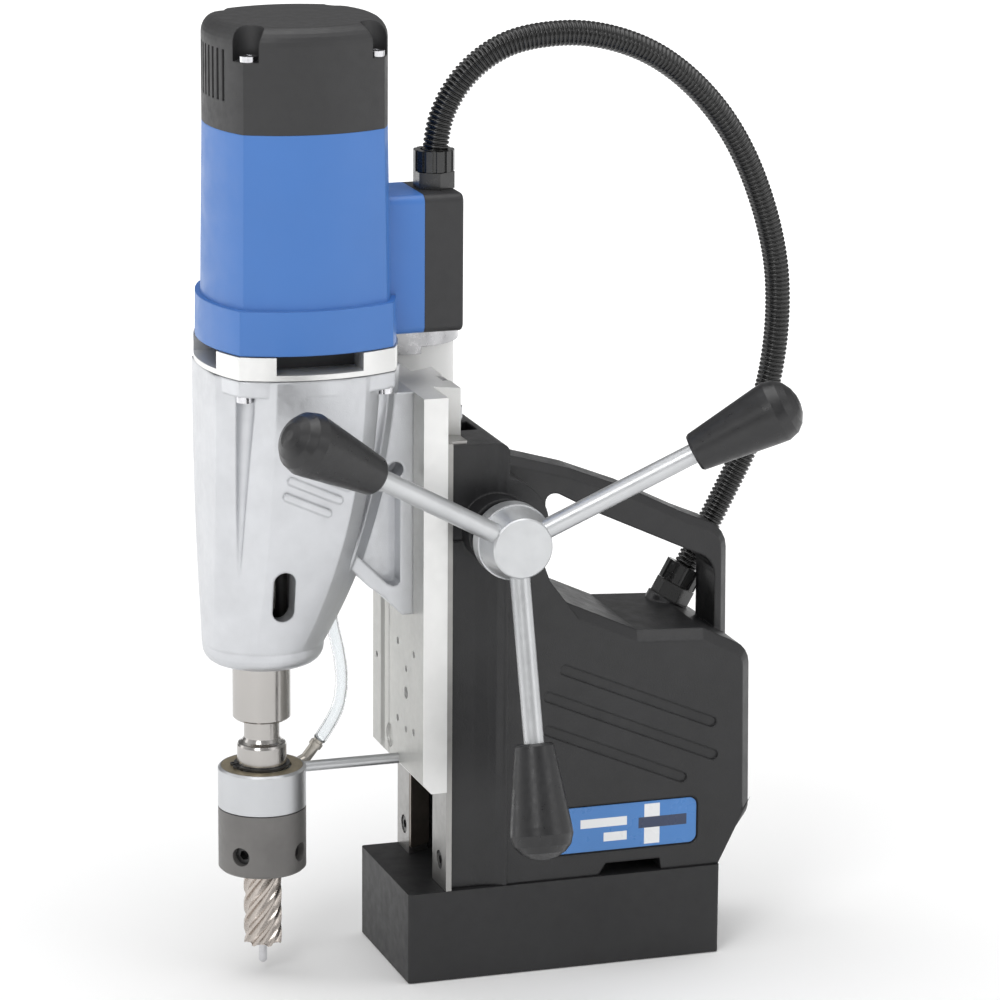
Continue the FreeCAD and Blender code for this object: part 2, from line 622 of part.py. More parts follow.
def nose():
    rounds = [(NOSE_R - 8 + 8 * math.sin(t), NOSE_LOW + 8 - 8 * math.cos(t))
              for t in (math.radians(a) for a in range(0, 91, 15))]
    return revolve([(0, NOSE_LOW)] + rounds + [(NOSE_R, NOSE_HIGH), (0, NOSE_HIGH)], 0, NOSE_Y)


def bracket():
    outline = [(-100, 290.5), (SLIDE_FRONT, 290.5), (SLIDE_FRONT, 181.5), (-79, 181.5),
               (-82, 184.5), (-88, 191), (-95.5, 196.5), (-104, 206), (-110, 230)]
    solid = side_plate(outline, -25, 25)
    pocket = side_plate([(-80, 243), (-80, 198), (-81.2, 196.4), (-83.2, 196), (-86.5, 197.5),
                         (-103, 214), (-103, 243)], 16, 26)
    port = cross(4, -82.4, 253, 12, 26)
    for tool in (pocket, port):
        solid = cut(solid, tool, mirror_x(tool))
    return solid


def raised_rib(y0, z0, y1):
    z1 = z0 - 0.46 * (y1 - y0)
    length = math.hypot(y1 - y0, z1 - z0)
    across = V(0, (z0 - z1) / length, (y1 - y0) / length).multiply(1.8)
    start, end = V(38, y0, z0), V(38, y1, z1)
    bar = prism([start.add(across), end.add(across), end.sub(across), start.sub(across)],
                V(6.2, 0, 0))
    return fuse(bar, *[cross(1.8, point.y, point.z, 38, 44.2) for point in (start, end)])


def corner_groove(sx, sy):
    """A screw pocket in a corner facet that tapers to nothing on the way down."""
    x, y = sx * CASE_SCREW, MOTOR_Y + sy * CASE_SCREW
    top = Part.Wire(Part.makeCircle(5.0, V(x, y, SCREW_SEAT)))
    mouth = Part.Wire(Part.makeCircle(5.0, V(x, y, FLANGE_LOW - 8)))
    y_end = -133.3 + sy * 27.5
    tip = Part.Wire(Part.makeCircle(0.8, V(sx * 27.8, y_end, 205)))
    return fuse(loft([top, mouth]), loft([mouth, tip]))


def gear_housing():
    outer = loft(gear_sections(0), ruled=False)
    flange = loft([four_sided(37.7, 8.4, MOTOR_Y, z) for z in (FLANGE_LOW, BAND_LOW - 0.6)])
    solid = fuse(outer.cut(box(-60, 60, -200, -60, BAND_LOW - 0.6, BAND_LOW + 1)), flange, nose(),
                 bracket())
    solid = solid.fuse(loft([four_sided(36.7, 8.4, MOTOR_Y, z) for z in (BAND_LOW - 1, BAND_LOW)]))
    for rib in [raised_rib(*at) for at in RIBS]:
        solid = solid.fuse(rib).fuse(mirror_x(rib))
    cavity = fuse(cone(23, 36, V(0, -139.5, 178), V(0, MOTOR_Y, 310)),
                  upright(24.5, 0, SPINDLE_Y, 178, 310))
    bearing_seat = upright(23.5, 0, SPINDLE_Y, 163, 178)
    mouth = upright(17, 0, SPINDLE_Y, 150, 163)
    drift = fuse(box(-50, 50, DRIFT_Y - DRIFT_R, DRIFT_Y + DRIFT_R, DRIFT_Z0, DRIFT_Z1),
                 *[cross(DRIFT_R, DRIFT_Y, z, -50, 50) for z in (DRIFT_Z0, DRIFT_Z1)])
    counter_seat = upright(8, COUNTER_X, COUNTER_Y, 236, 244)
    shelf = upright(12, COUNTER_X, COUNTER_Y, 236, 246)
    solid = cut(solid, cavity, bearing_seat, mouth, drift)
    rest = cone(23, 36, V(0, -139.5, 178), V(0, MOTOR_Y, 310)).common(shelf)
    solid = solid.fuse(rest.cut(upright(24.0, 0, SPINDLE_Y, 236, 246)))
    solid = cut(solid, counter_seat, upright(4, COUNTER_X, COUNTER_Y, 232, 250))
    grooves = [corner_groove(sx, sy) for sx in (-1, 1) for sy in (-1, 1)]
    grooves += [upright(2.5, x, y, FLANGE_LOW - 1, BAND_LOW) for x, y in CASE_SCREWS]
    screw_holes = [rod(3, V(x, -95, z), V(x, -70, z)) for x, z in BRACKET_SCREWS]
    screw_holes = [hole.common(box(-50, 50, -86, -70, 150, 300)) for hole in screw_holes]
    return cut(solid, *grooves, *screw_holes)


def gear_case_cover():
    """The silver band: a bearing plate with air outlets between gear housing and motor."""
    solid = loft([four_sided(37.7, 9.4, MOTOR_Y, BAND_LOW), four_sided(37.7, 9.4, MOTOR_Y, BAND_HIGH)])
    outlets = [box(x, x + 30, -146, -104, 307, BAND_HIGH + 1) for x in (-60, 30)]
    outlets.append(box(-21, 21, -180, -158, 307, BAND_HIGH + 1))
    spindle_seat = upright(10.5, 0, SPINDLE_Y, BAND_LOW - 1, 312)
    counter_seat = upright(6.5, COUNTER_X, COUNTER_Y, BAND_LOW - 1, 310)
    armature_seat = upright(8, 0, MOTOR_Y + 0.5, 308, BAND_HIGH + 1)
    passage = upright(5.5, 0, MOTOR_Y + 0.5, BAND_LOW - 1, 308)
    holes = [upright(2.5, x, y, BAND_LOW - 1, BAND_HIGH + 1) for x, y in CASE_SCREWS]
    return cut(solid, *outlets, spindle_seat, counter_seat, armature_seat, passage, *holes)


CASE_SCREWS = [(sx * CASE_SCREW, MOTOR_Y + sy * CASE_SCREW) for sx in (-1, 1) for sy in (-1, 1)]
ARMATURE_Y = MOTOR_Y + 0.5
ARMATURE_MESH = math.atan2(COUNTER_Y - ARMATURE_Y, COUNTER_X)   # from the armature to the shaft
SPINDLE_MESH = math.atan2(SPINDLE_Y - COUNTER_Y, -COUNTER_X)    # from the shaft to the spindle


def gear_case_screws():
    return group([screw(4.2, 3.2, 2.5, V(x, y, SCREW_SEAT), V(x, y, RING_HIGH - 5))
                  for x, y in CASE_SCREWS])


# The motor
CAP_SCREWS = [(sx * 30.5, MOTOR_Y + sy * 30.5) for sx in (-1, 1) for sy in (-1, 1)]
CAP_SCREW_Z = 452.5
BODY_LOW = (35.0, 9.2)    # half width and bow of the motor's section at the ring
BODY_HIGH = (33.8, 8.8)   # and at the cap


def motor_housing():
    ring = loft([four_sided(37.2, 9.2, MOTOR_Y, MOTOR_LOW),
                 four_sided(37.0, 9.2, MOTOR_Y, RING_HIGH)])
    body = loft([four_sided(*BODY_LOW, MOTOR_Y, MOTOR_LOW), four_sided(*BODY_HIGH, MOTOR_Y, CAP_LOW)])
    rear = box(-BOX_X, BOX_X, BOX_FRONT, BOX_SEAM, BOX_LOW, BOX_HIGH)
    rear = round_edges(rear, 4.0, lambda edge: edge.BoundBox.YLength > 20)
    hollow = loft([four_sided(31.5, 8.6, MOTOR_Y, MOTOR_LOW - 1),
                   four_sided(30.4, 8.3, MOTOR_Y, CAP_LOW + 1)])
    bosses = [upright(5.5, x, y, MOTOR_LOW, MOTOR_LOW + 20) for x, y in CASE_SCREWS]
    bosses += [upright(5.0, x, y, 395, CAP_LOW) for x, y in CAP_SCREWS]
    outer = fuse(ring, body)
    seat = tube(41, 33.2, 0, MOTOR_Y, 340, 382)
    walls = fuse(outer.cut(hollow), *[boss.common(outer) for boss in bosses])
    solid = fuse(walls, seat).fuse(rear.cut(hollow))
    room = box(-BOX_X + 3, BOX_X - 3, BOX_FRONT + 8, BOX_SEAM + 1, BOX_LOW + 3, BOX_HIGH - 3)
    wire_way = rod(5, V(0, -92, 350), V(0, -60, 350))
    wells = [box(-11, 11, y, y + 12, 396, 410) for y in (MOTOR_Y - 46, MOTOR_Y + 34)]
    holes = [upright(2.5, x, y, MOTOR_LOW - 1, RING_HIGH - 5) for x, y in CASE_SCREWS]
    holes += [upright(2, x, y, 398, CAP_LOW + 1) for x, y in CAP_SCREWS]
    room = room.cut(loft([four_sided(*BODY_LOW, MOTOR_Y, z) for z in (300, CAP_LOW)]))
    return cut(solid, room, wire_way, *[well.common(hollow) for well in wells], *holes)


def dome(half, bow, low, high, radius):
    """The motor's section with its top edge rounded over."""
    body = loft([four_sided(half, bow, MOTOR_Y, low), four_sided(half, bow, MOTOR_Y, high - radius)])
    sections = []
    for angle in range(0, 91, 15):
        inset = radius * (1 - math.cos(math.radians(angle)))
        z = high - radius + radius * math.sin(math.radians(angle)) + angle * 0.002
        sections.append(four_sided(half - inset * 0.85, bow, MOTOR_Y, z))
    return fuse(body, loft(sections))


def motor_cap():
    half, bow = BODY_HIGH
    shell = dome(half, bow, CAP_LOW, CAP_HIGH, 8.0)
    posts = [upright(10.2, x, y, CAP_LOW - 1, CAP_HIGH) for x, y in CAP_SCREWS]
    hollow = cut(dome(half - 3.2, bow, CAP_LOW - 0.5, CAP_HIGH - 3.5, 7.0), *posts)
    pockets = [upright(7.2, x, y, CAP_SCREW_Z, CAP_HIGH + 5) for x, y in CAP_SCREWS]
    vents = [box(x - 1, x + 1, MOTOR_Y - 60, MOTOR_Y - 30, 433, 457) for x in range(-20, 21, 5)]
    vents += [vent.mirror(V(0, MOTOR_Y, 0), Y_AXIS) for vent in vents]
    holes = [upright(2, x, y, CAP_LOW - 2, CAP_HIGH) for x, y in CAP_SCREWS]
    bearing_seat = tube(12, 8, 0, ARMATURE_Y, 424, 431)
    spider = fuse(box(-3, 3, MOTOR_Y - 42.5, MOTOR_Y + 42.5, 424, 431),
                  box(-42.5, 42.5, MOTOR_Y - 3, MOTOR_Y + 3, 424, 431))
    spider = spider.cut(upright(10, 0, ARMATURE_Y, 420, 435))
    return cut(fuse(shell.cut(hollow), spider, bearing_seat), *pockets, *vents, *holes)


def cap_screws():
    return group([screw(4.2, 2.8, 2, V(x, y, CAP_SCREW_Z), V(x, y, 400)) for x, y in CAP_SCREWS])


def stator():
    """The laminations, slotted for the field windings, and the windings' two heads."""
    stack = tube(33.2, 19.4, 0, MOTOR_Y, 340, 382)
    slots = [box(-7, 7, y, y + 7, 340, 382) for y in (MOTOR_Y - 26, MOTOR_Y + 19)]
    heads = [tube(27, 20.5, 0, MOTOR_Y, z, z + 7) for z in (333, 382)]
    return group([cut(stack, *slots), *heads])


def brush_gear():
    """Two carbon brushes that rest on the commutator, each in its holder."""
    pieces = []
    for side in (-1, 1):
        reach = MOTOR_Y + side * 24
        block = box(-5, 5, reach - 10, reach + 10, 398, 408)
        pieces.append(block.cut(box(-2.5, 2.5, reach - 11, reach + 11, 400.5, 405.5)))
        reach = MOTOR_Y + side * 20.2
        pieces.append(box(-2.4, 2.4, reach - 7.4, reach + 7.4, 400.6, 405.4))
    return group(pieces)


def armature():
    """Shaft, laminations, commutator and fan in one turning piece."""
    shaft = upright(3.9, 0, ARMATURE_Y, 300, 431)
    pinion = gear(7, 1.0, ARMATURE_Y, 288, 300, turn=ARMATURE_MESH)
    fan = upright(11, 0, ARMATURE_Y, 319, 330)
    blades = []
    for step in range(12):
        blade = box(9, 27, ARMATURE_Y - 1, ARMATURE_Y + 1, 319, 330)
        blade.rotate(V(0, ARMATURE_Y, 0), Z_AXIS, step * 30)
        blades.append(blade)
    disc = upright(27, 0, ARMATURE_Y, 330, 331.5)
    core = upright(18.6, 0, ARMATURE_Y, 341, 381)
    heads = [upright(14, 0, ARMATURE_Y, 333, 341), upright(14, 0, ARMATURE_Y, 381, 392)]
    commutator = upright(11.8, 0, ARMATURE_Y, 395, 411)
    return fuse(shaft, pinion, fan, *blades, disc, core, *heads, commutator)


def ball_bearing(x, y, z0, z1, outer, inner):
    """A ring whose shields lie in shallow grooves."""
    mean, reach = (outer + inner) / 2, (outer - inner) * 0.21
    shields = [tube(mean + reach, mean - reach, x, y, low, low + 1.6) for low in (z0 - 1, z1 - 0.6)]
    return cut(tube(outer, inner, x, y, z0, z1), *shields)


def gear_bearings():
    """The bearings of the armature, the middle shaft and the spindle."""
    balls = [(0, ARMATURE_Y, 308, 315, 8, 3.95), (0, ARMATURE_Y, 424, 431, 8, 3.95),
             (0, SPINDLE_Y, 163.2, 177.8, 23.45, 12.55), (0, SPINDLE_Y, 304.6, 311.8, 10.45, 6.0)]
    bushes = [tube(8, 3.95, COUNTER_X, COUNTER_Y, 236, 244),
              tube(6.5, 3.95, COUNTER_X, COUNTER_Y, BAND_LOW, 310)]
    return group([ball_bearing(*place) for place in balls] + bushes)


def counter_gears():
    """The middle shaft: a large gear driven by the armature and a small one that drives the spindle."""
    shaft = upright(3.9, COUNTER_X, COUNTER_Y, 236, 310)
    large = gear(29, 1.0, COUNTER_Y, 289, 299, x=COUNTER_X, turn=ARMATURE_MESH + math.pi + math.pi / 29)
    small = gear(8, 1.5, COUNTER_Y, 262, 282, x=COUNTER_X, turn=SPINDLE_MESH)
    return fuse(shaft, large, small)


# The switch box behind the motor
def switch_box_cover():
    solid = box(-BOX_X, BOX_X, BOX_SEAM, BOX_REAR, BOX_LOW, BOX_HIGH)
    solid = round_edges(solid, 4.0, lambda edge: edge.BoundBox.YLength > 15)
    solid = round_edges(solid, 1.5, lambda edge: edge.BoundBox.YMin > BOX_REAR - 0.01)
    room = box(-BOX_X + 3, BOX_X - 3, BOX_SEAM - 1, BOX_REAR - 3, BOX_LOW + 3, BOX_HIGH - 3)
    cable_hole = upright(5, GLAND_TOP.x, GLAND_TOP.y, BOX_HIGH - 4, BOX_HIGH + 1)
    return cut(solid, room, cable_hole)


# Cable glands and the corrugated conduit
def tilted(shape, at, tilt):
    """Stands a shape made on the origin on at, leaning to the rear."""
    shape.Placement = FreeCAD.Placement(at, FreeCAD.Rotation(X_AXIS, -tilt))
    return shape


def cable_gland(at, tilt):
    """A hexagonal body with a threaded stem, and its ribbed nut."""
    body = fuse(hexagon(17.5, V(0, 0, 0), 8), upright(6.9, 0, 0, 8, 12), upright(4.9, 0, 0, -6, 0))
    bore = fuse(upright(3.5, 0, 0, -7, GLAND_DEPTH), upright(CONDUIT_R + 0.15, 0, 0, GLAND_DEPTH, 13))
    body = body.cut(bore)
    ribs = []
    for step in range(12):
        rib = box(8.5, 9.7, -1.6, 1.6, 8.3, 18.3)
        rib.rotate(V(0, 0, 0), Z_AXIS, step * 30)
        ribs.append(rib)
    nut = fuse(upright(8.9, 0, 0, 8.3, 18.3), *ribs)
    nut = cut(nut, upright(6.9, 0, 0, 8, 12), upright(CONDUIT_R + 0.4, 0, 0, 12, 19))
    return tilted(group([body, nut]), at, tilt)


def gland_bore():
    return tilted(upright(4.9, 0, 0, -12, 6), GLAND_LOW, GLAND_TILT)


def gland_seat():
    """A level pad for the lower gland on the box's sloping top."""
    return tilted(upright(11, 0, 0, -9, 0), GLAND_LOW, GLAND_TILT)


def above_gland(at, tilt, distance):
    """A point on a gland's axis."""
    return at.add(FreeCAD.Rotation(X_AXIS, -tilt).multVec(V(0, 0, distance)))


CONDUIT_ROUTE = [
    above_gland(GLAND_TOP, 0, GLAND_DEPTH), V(0, -56, 408), V(0, -47.6, 429), V(0, -32, 445),
    V(-1.5, -10.5, 453.7), V(-3.5, 27, 454), V(-6, 66.5, 437.5), V(-9, 101.5, 400),
    V(-13, 123.5, 346), V(-17, 128, 301), V(-20.5, 121.5, 256.5), V(-23.5, 97.63, 206.04),
    V(-23.5, 75.81, 166.69)]


def corrugated_conduit():
    return cord("conduit", CONDUIT_ROUTE, CONDUIT_R)


# The rear panel
PANEL_BACK, PANEL_FACE = 94.4, 97.0
PANEL_SCREWS = [(x, z) for x in (-21.5, 21.5) for z in (84, 138)]
ROCKER_Y, ROCKER_Z, ROCKER_TIP = 91.4, 124.0, 8.5
BUTTON_Z, BUTTON_X = 101.0, 8.5


def switch_panel():
    plate = box(-PANEL_HALF, PANEL_HALF, PANEL_BACK, PANEL_FACE, PANEL_LOW, PANEL_HIGH)
    plate = round_edges(plate, 3.0, lambda edge: edge.BoundBox.YLength > 2)
    frame = box(-12, 12, PANEL_BACK - 1, PANEL_FACE + 0.8, ROCKER_Z - 8.5, ROCKER_Z + 8.5)
    solid = cut(fuse(plate, frame), box(-10, 10, 90, 100, ROCKER_Z - 6.5, ROCKER_Z + 6.5))
    places = [(x, z, 1.5) for x, z in PANEL_SCREWS]
    places += [(side * BUTTON_X, BUTTON_Z, 6.1) for side in (-1, 1)]
    return cut(solid, *[rod(r, V(x, 90, z), V(x, 100, z)) for x, z, r in places])


def magnet_rocker():
    """A rocker that tips on a pin across its middle."""
    level = [V(0, -3, -4.6), V(0, 6.4, -5.2), V(0, 5.6, 0), V(0, 6.4, 5.2), V(0, -3, 4.6)]
    tipped = [FreeCAD.Rotation(X_AXIS, -ROCKER_TIP).multVec(corner) for corner in level]
    outline = [(ROCKER_Y + corner.y, ROCKER_Z + corner.z) for corner in tipped]
    return fuse(side_plate(outline, -9.4, 9.4), cross(1.5, ROCKER_Y, ROCKER_Z, -11.5, 11.5))


def switch_blocks():
    """The rocker's housing and the block that the two buttons slide in."""
    high = box(-13, 13, 76.4, 93.3, ROCKER_Z - 9, ROCKER_Z + 9)
    room = box(-10, 10, 82.4, 95, ROCKER_Z - 7, ROCKER_Z + 7)
    low = box(-17, 17, 78.4, 91.4, BUTTON_Z - 8, BUTTON_Z + 8)
    ways = [rod(2.6, V(side * BUTTON_X, 81.9, BUTTON_Z), V(side * BUTTON_X, 95, BUTTON_Z))
            for side in (-1, 1)]
    return group([cut(high, room, cross(1.55, ROCKER_Y, ROCKER_Z, -11.8, 11.8)), cut(low, *ways)])


def push_button(side):
    x = side * BUTTON_X
    cap = rod(5.9, V(x, 92.9, BUTTON_Z), V(x, PANEL_FACE + 0.4, BUTTON_Z))
    return fuse(cap, rod(2.5, V(x, 86.4, BUTTON_Z), V(x, 92.9, BUTTON_Z)))


def clear_cover():
    """A clear flap over the two motor buttons."""
    shell = box(-19, 19, PANEL_FACE, PANEL_FACE + 2.4, BUTTON_Z - 9, BUTTON_Z + 9)
    shell = round_edges(shell, 3.0, lambda edge: edge.BoundBox.YLength > 2)
    room = box(-17.8, 17.8, PANEL_FACE - 1, PANEL_FACE + 1.6, BUTTON_Z - 7.8, BUTTON_Z + 7.8)
    return shell.cut(room)


def circuit_board():
    """The control board, with a capacitor, a transformer and two relays on it."""
    board = box(-30, -28.4, 5, 70, 75, 140)
    raised = [cross(7, 20, 120, -28.4, -8), box(-28.4, -10, 35, 60, 108, 132),
              box(-28.4, -18, 12, 28, 82, 98), box(-28.4, -18, 36, 52, 82, 98)]
    return fuse(board, *raised)


def mains_bore():
    return cross(5, 70, 92, -45, -30)


def mains_gland():
    nut = hexagon(17.5, V(-BOX_HALF, 70, 92), 7, V(-1, 0, 0))
    dome_nut = cross(8.4, 70, 92, -BOX_HALF - 16, -BOX_HALF - 7)
    solid = fuse(nut, dome_nut, cross(5, 70, 92, -BOX_HALF, -32))
    return solid.cut(cross(3.6, 70, 92, -60, -30))


# The spindle, arbor and cutter
TAPER_HIGH, TAPER_LOW = 190.0, 129.0


def spindle():
    body = revolve([(SPINDLE_R - 1, 129), (SPINDLE_R, 130), (SPINDLE_R, 163), (12.5, 163),
                    (12.5, 232), (10, 232), (10, 300), (5.95, 300), (5.95, 311), (0, 311),
                    (0, 129)], 0, SPINDLE_Y)
    tang_slot = box(-20, 20, SPINDLE_Y - 3.5, SPINDLE_Y + 3.5, 186, 212)
    return cut(body, arbor_taper(), tang_slot)


def arbor_taper():
    return cone(8.9, 7.4, V(0, SPINDLE_Y, TAPER_LOW), V(0, SPINDLE_Y, TAPER_HIGH))


def spindle_gear():
    wheel = gear(28, 1.5, SPINDLE_Y, 262, 280, turn=SPINDLE_MESH + math.pi + math.pi / 28)
    return wheel.cut(upright(10, 0, SPINDLE_Y, 260, 285))


def arbor():
    tang = box(-7, 7, SPINDLE_Y - 3.2, SPINDLE_Y + 3.2, TAPER_HIGH - 4, 205)
    neck = upright(8.6, 0, SPINDLE_Y, 117, TAPER_LOW)
    shoulder = revolve([(0, 119.5), (8.6, 119.5), (9.6, 117.8), (10.6, 117), (11.4, 116.6),
                        (12, 115.4), (12, CIRCLIP_Z + 1.1), (11.5, CIRCLIP_Z + 1.1),
                        (11.5, CIRCLIP_Z - 0.1), (12, CIRCLIP_Z - 0.1), (12, 104.5), (0, 104.5)],
                       0, SPINDLE_Y)
    journal = upright(12.4, 0, SPINDLE_Y, RING_LOW - 0.5, 104.5)
    top = RING_LOW - 0.5
    body = revolve([(0, top), (RING_R, top), (RING_R, ARBOR_LOW + 1.2),
                    (RING_R - 1.2, ARBOR_LOW), (0, ARBOR_LOW)], 0, SPINDLE_Y)
    bore = fuse(upright(9.525, 0, SPINDLE_Y, 52, 85), upright(4.5, 0, SPINDLE_Y, 84, 122))
    solid = cut(fuse(arbor_taper(), tang, neck, shoulder, journal, body), bore)
    for angle in SET_ANGLES:
        solid = cut(solid, rod(4.6, V(0, SPINDLE_Y, SET_Z), set_point(angle, RING_R + 2)))
    return solid


def circlip():
    """A clip in the journal's groove, open at one side, with a lug at each end."""
    clip = tube(13.6, 11.55, 0, SPINDLE_Y, CIRCLIP_Z, CIRCLIP_Z + 1)
    clip = clip.cut(box(-1, 1, SPINDLE_Y - 20, SPINDLE_Y - 5, CIRCLIP_Z - 1, CIRCLIP_Z + 2))
    lugs = [upright(1.7, x, SPINDLE_Y - 13.4, CIRCLIP_Z, CIRCLIP_Z + 1) for x in (-2.7, 2.7)]
    eyes = [upright(0.8, x, SPINDLE_Y - 13.6, CIRCLIP_Z - 1, CIRCLIP_Z + 2) for x in (-2.7, 2.7)]
    return cut(fuse(clip, *lugs), *eyes)


CIRCLIP_Z = 105.3
SET_ANGLES, SET_Z = (-45, 45), 64.0


def set_point(angle, radius):
    at = math.radians(angle)
    return V(radius * math.cos(at), SPINDLE_Y + radius * math.sin(at), SET_Z)


def arbor_fittings():
    """The two screws that clamp the cutter, and the circlip above the coolant ring."""
    pieces = [circlip()]
    for angle in SET_ANGLES:
        body = rod(4.55, set_point(angle, 9.55), set_point(angle, 17.5))
        out = set_point(angle, 1).sub(set_point(angle, 0))
        pieces.append(body.cut(hexagon(4.4, set_point(angle, 13), 6, out)))
    return group(pieces)


def annular_cutter():
    """A hollow cutter with twisted flutes under a plain shank."""
    top = 52.8
    steps = 18
    wires = []
    for step in range(steps + 1):
        z = CUTTER_LOW + (top - CUTTER_LOW) * step / steps
        turn = math.radians(CUTTER_TWIST) * step / steps
        wires.append(flute_wire(z, turn))
    body = loft(wires)
    shank = upright(9.5, 0, SPINDLE_Y, top, 84.5)
    core = fuse(upright(6.6, 0, SPINDLE_Y, CUTTER_LOW - 1, 48), upright(2.1, 0, SPINDLE_Y, 48, 90))
    return cut(fuse(body, shank), core)


def flute_wire(z, turn):
    points = []
    for flute in range(FLUTES):
        start = turn + flute * 2 * math.pi / FLUTES
        for share, depth in ((0.0, 0), (0.2, 0), (0.36, 1.3), (0.6, 2.0), (0.84, 1.4)):
            radius = CUTTER_R - depth
            at = start + share * 2 * math.pi / FLUTES
            points.append(V(radius * math.cos(at), SPINDLE_Y + radius * math.sin(at), z))
    return Part.makePolygon(points + points[:1])


def pilot_pin():
    tip = cone(1.1, 2, V(0, SPINDLE_Y, 4.5), V(0, SPINDLE_Y, 5.6))
    return fuse(tip, upright(2, 0, SPINDLE_Y, 5.6, 88), upright(3.6, 0, SPINDLE_Y, 88, 92))


def ejector_spring():
    """The pilot's return spring, as the sleeve that its coils fill."""
    return tube(4.2, 2.6, 0, SPINDLE_Y, 92.2, 121.5)


# Coolant parts
NIPPLE_LOW, NIPPLE_BEND, NIPPLE_TIP = V(-8, -127, 99), V(-7, -118, 104), V(-6, -111.5, 113)


def coolant_ring():
    solid = revolve([(12.5, RING_LOW), (RING_R, RING_LOW), (RING_R, RING_TOP - 1),
                     (RING_R - 1, RING_TOP), (12.5, RING_TOP)], 0, SPINDLE_Y)
    groove = tube(15.5, 12, 0, SPINDLE_Y, 92, 96)
    port = rod(1.5, V(0, SPINDLE_Y + 12, 94), V(0, SPINDLE_Y + 21, 103))
    seat = upright(19.8, 0, SPINDLE_Y, RING_TOP - 1.2, RING_TOP + 1)
    rod_hole = rod(ROD_R, V(0, SPINDLE_Y + 15, ROD_Z), V(0, SPINDLE_Y + 25, ROD_Z))
    return cut(solid, groove, port, seat, rod_hole, nipple_shape())


def ring_washer():
    washer = tube(19.7, 14.3, 0, SPINDLE_Y, RING_TOP - 1.2, RING_TOP)
    return washer.cut(rod(3.0, NIPPLE_LOW, NIPPLE_BEND))


def nipple_shape():
    return fuse(rod(2.6, NIPPLE_LOW, NIPPLE_BEND), Part.makeSphere(2.6, NIPPLE_BEND),
                rod(2.6, NIPPLE_BEND, NIPPLE_TIP))


def retaining_rod():
    return rod(ROD_R, V(0, SPINDLE_Y + 20.2, ROD_Z), V(0, SLIDE_FRONT + 8, ROD_Z))


def coolant_nipple():
    """The elbow, with a collar where the hose ends."""
    along = NIPPLE_TIP.sub(NIPPLE_BEND).normalize()
    collar = rod(3.3, NIPPLE_TIP.sub(V(along).multiply(4)), NIPPLE_TIP.sub(V(along).multiply(1.5)))
    return nipple_shape().fuse(collar)


OUTLET_LOW = 262.0
HOSE_ROUTE = [NIPPLE_TIP, V(-5, -103, 124.8), V(-4.2, -100.2, 140), V(-4.8, -101.2, 155),
              V(-8.5, -104.6, 172), V(-22, -103, 190), V(-44, -92, 206), V(-62, -70, 219),
              V(BOTTLE.x, BOTTLE.y, 238), V(BOTTLE.x, BOTTLE.y, OUTLET_LOW)]


def coolant_hose():
    return cord("hose", HOSE_ROUTE, HOSE_R)


def bottle_shape(gap, low, outlet_r, outlet_low):
    """The bottle's outer shape, drawn in by gap, with its outlet at the bottom."""
    at = BOTTLE
    return fuse(upright(BOTTLE_R - gap, at.x, at.y, low, 338 - gap * 0.4),
                cone(BOTTLE_R - gap, 12 - gap, V(at.x, at.y, 338 - gap * 0.4),
                     V(at.x, at.y, 347 - gap * 0.4)),
                upright(10 - gap, at.x, at.y, 347 - gap * 0.4, 355 + gap),
                upright(outlet_r, at.x, at.y, outlet_low, low + 1))


def coolant_bottle():
    outer = bottle_shape(0, BOTTLE.z, 4.2, OUTLET_LOW)
    return outer.cut(bottle_shape(1.5, BOTTLE.z + 2, 2.4, OUTLET_LOW - 1))


def bottle_cap():
    cap = upright(12.5, BOTTLE.x, BOTTLE.y, 347.3, 361)
    ribs = []
    for step in range(16):
        rib = box(12, 13.2, -0.7, 0.7, 348, 360)
        rib.rotate(V(0, 0, 0), Z_AXIS, step * 22.5)
        rib.translate(V(BOTTLE.x, BOTTLE.y, 0))
        ribs.append(rib)
    return fuse(cap, *ribs).cut(upright(10.05, BOTTLE.x, BOTTLE.y, 347, 356.5))


def bottle_bracket():
    clamp = tube(BOTTLE_R + 2.2, BOTTLE_R + 0.05, BOTTLE.x, BOTTLE.y, 296, 312)
    arm = fuse(box(-44.2, -SLIDE_HALF, SLIDE_FRONT, -49, 293, 312),
               box(-49, -44.2, -60, -49, 296, 312))
    arm = arm.cut(upright(BOTTLE_R + 0.05, BOTTLE.x, BOTTLE.y, 290, 315))
    leg = box(-44.2, -SLIDE_HALF, SLIDE_FRONT, -62.5, 262, 293)
    solid = fuse(clamp, arm, leg)
    return cut(solid, *[cross(2, *at, -50, -40) for at in ARM_SCREWS])


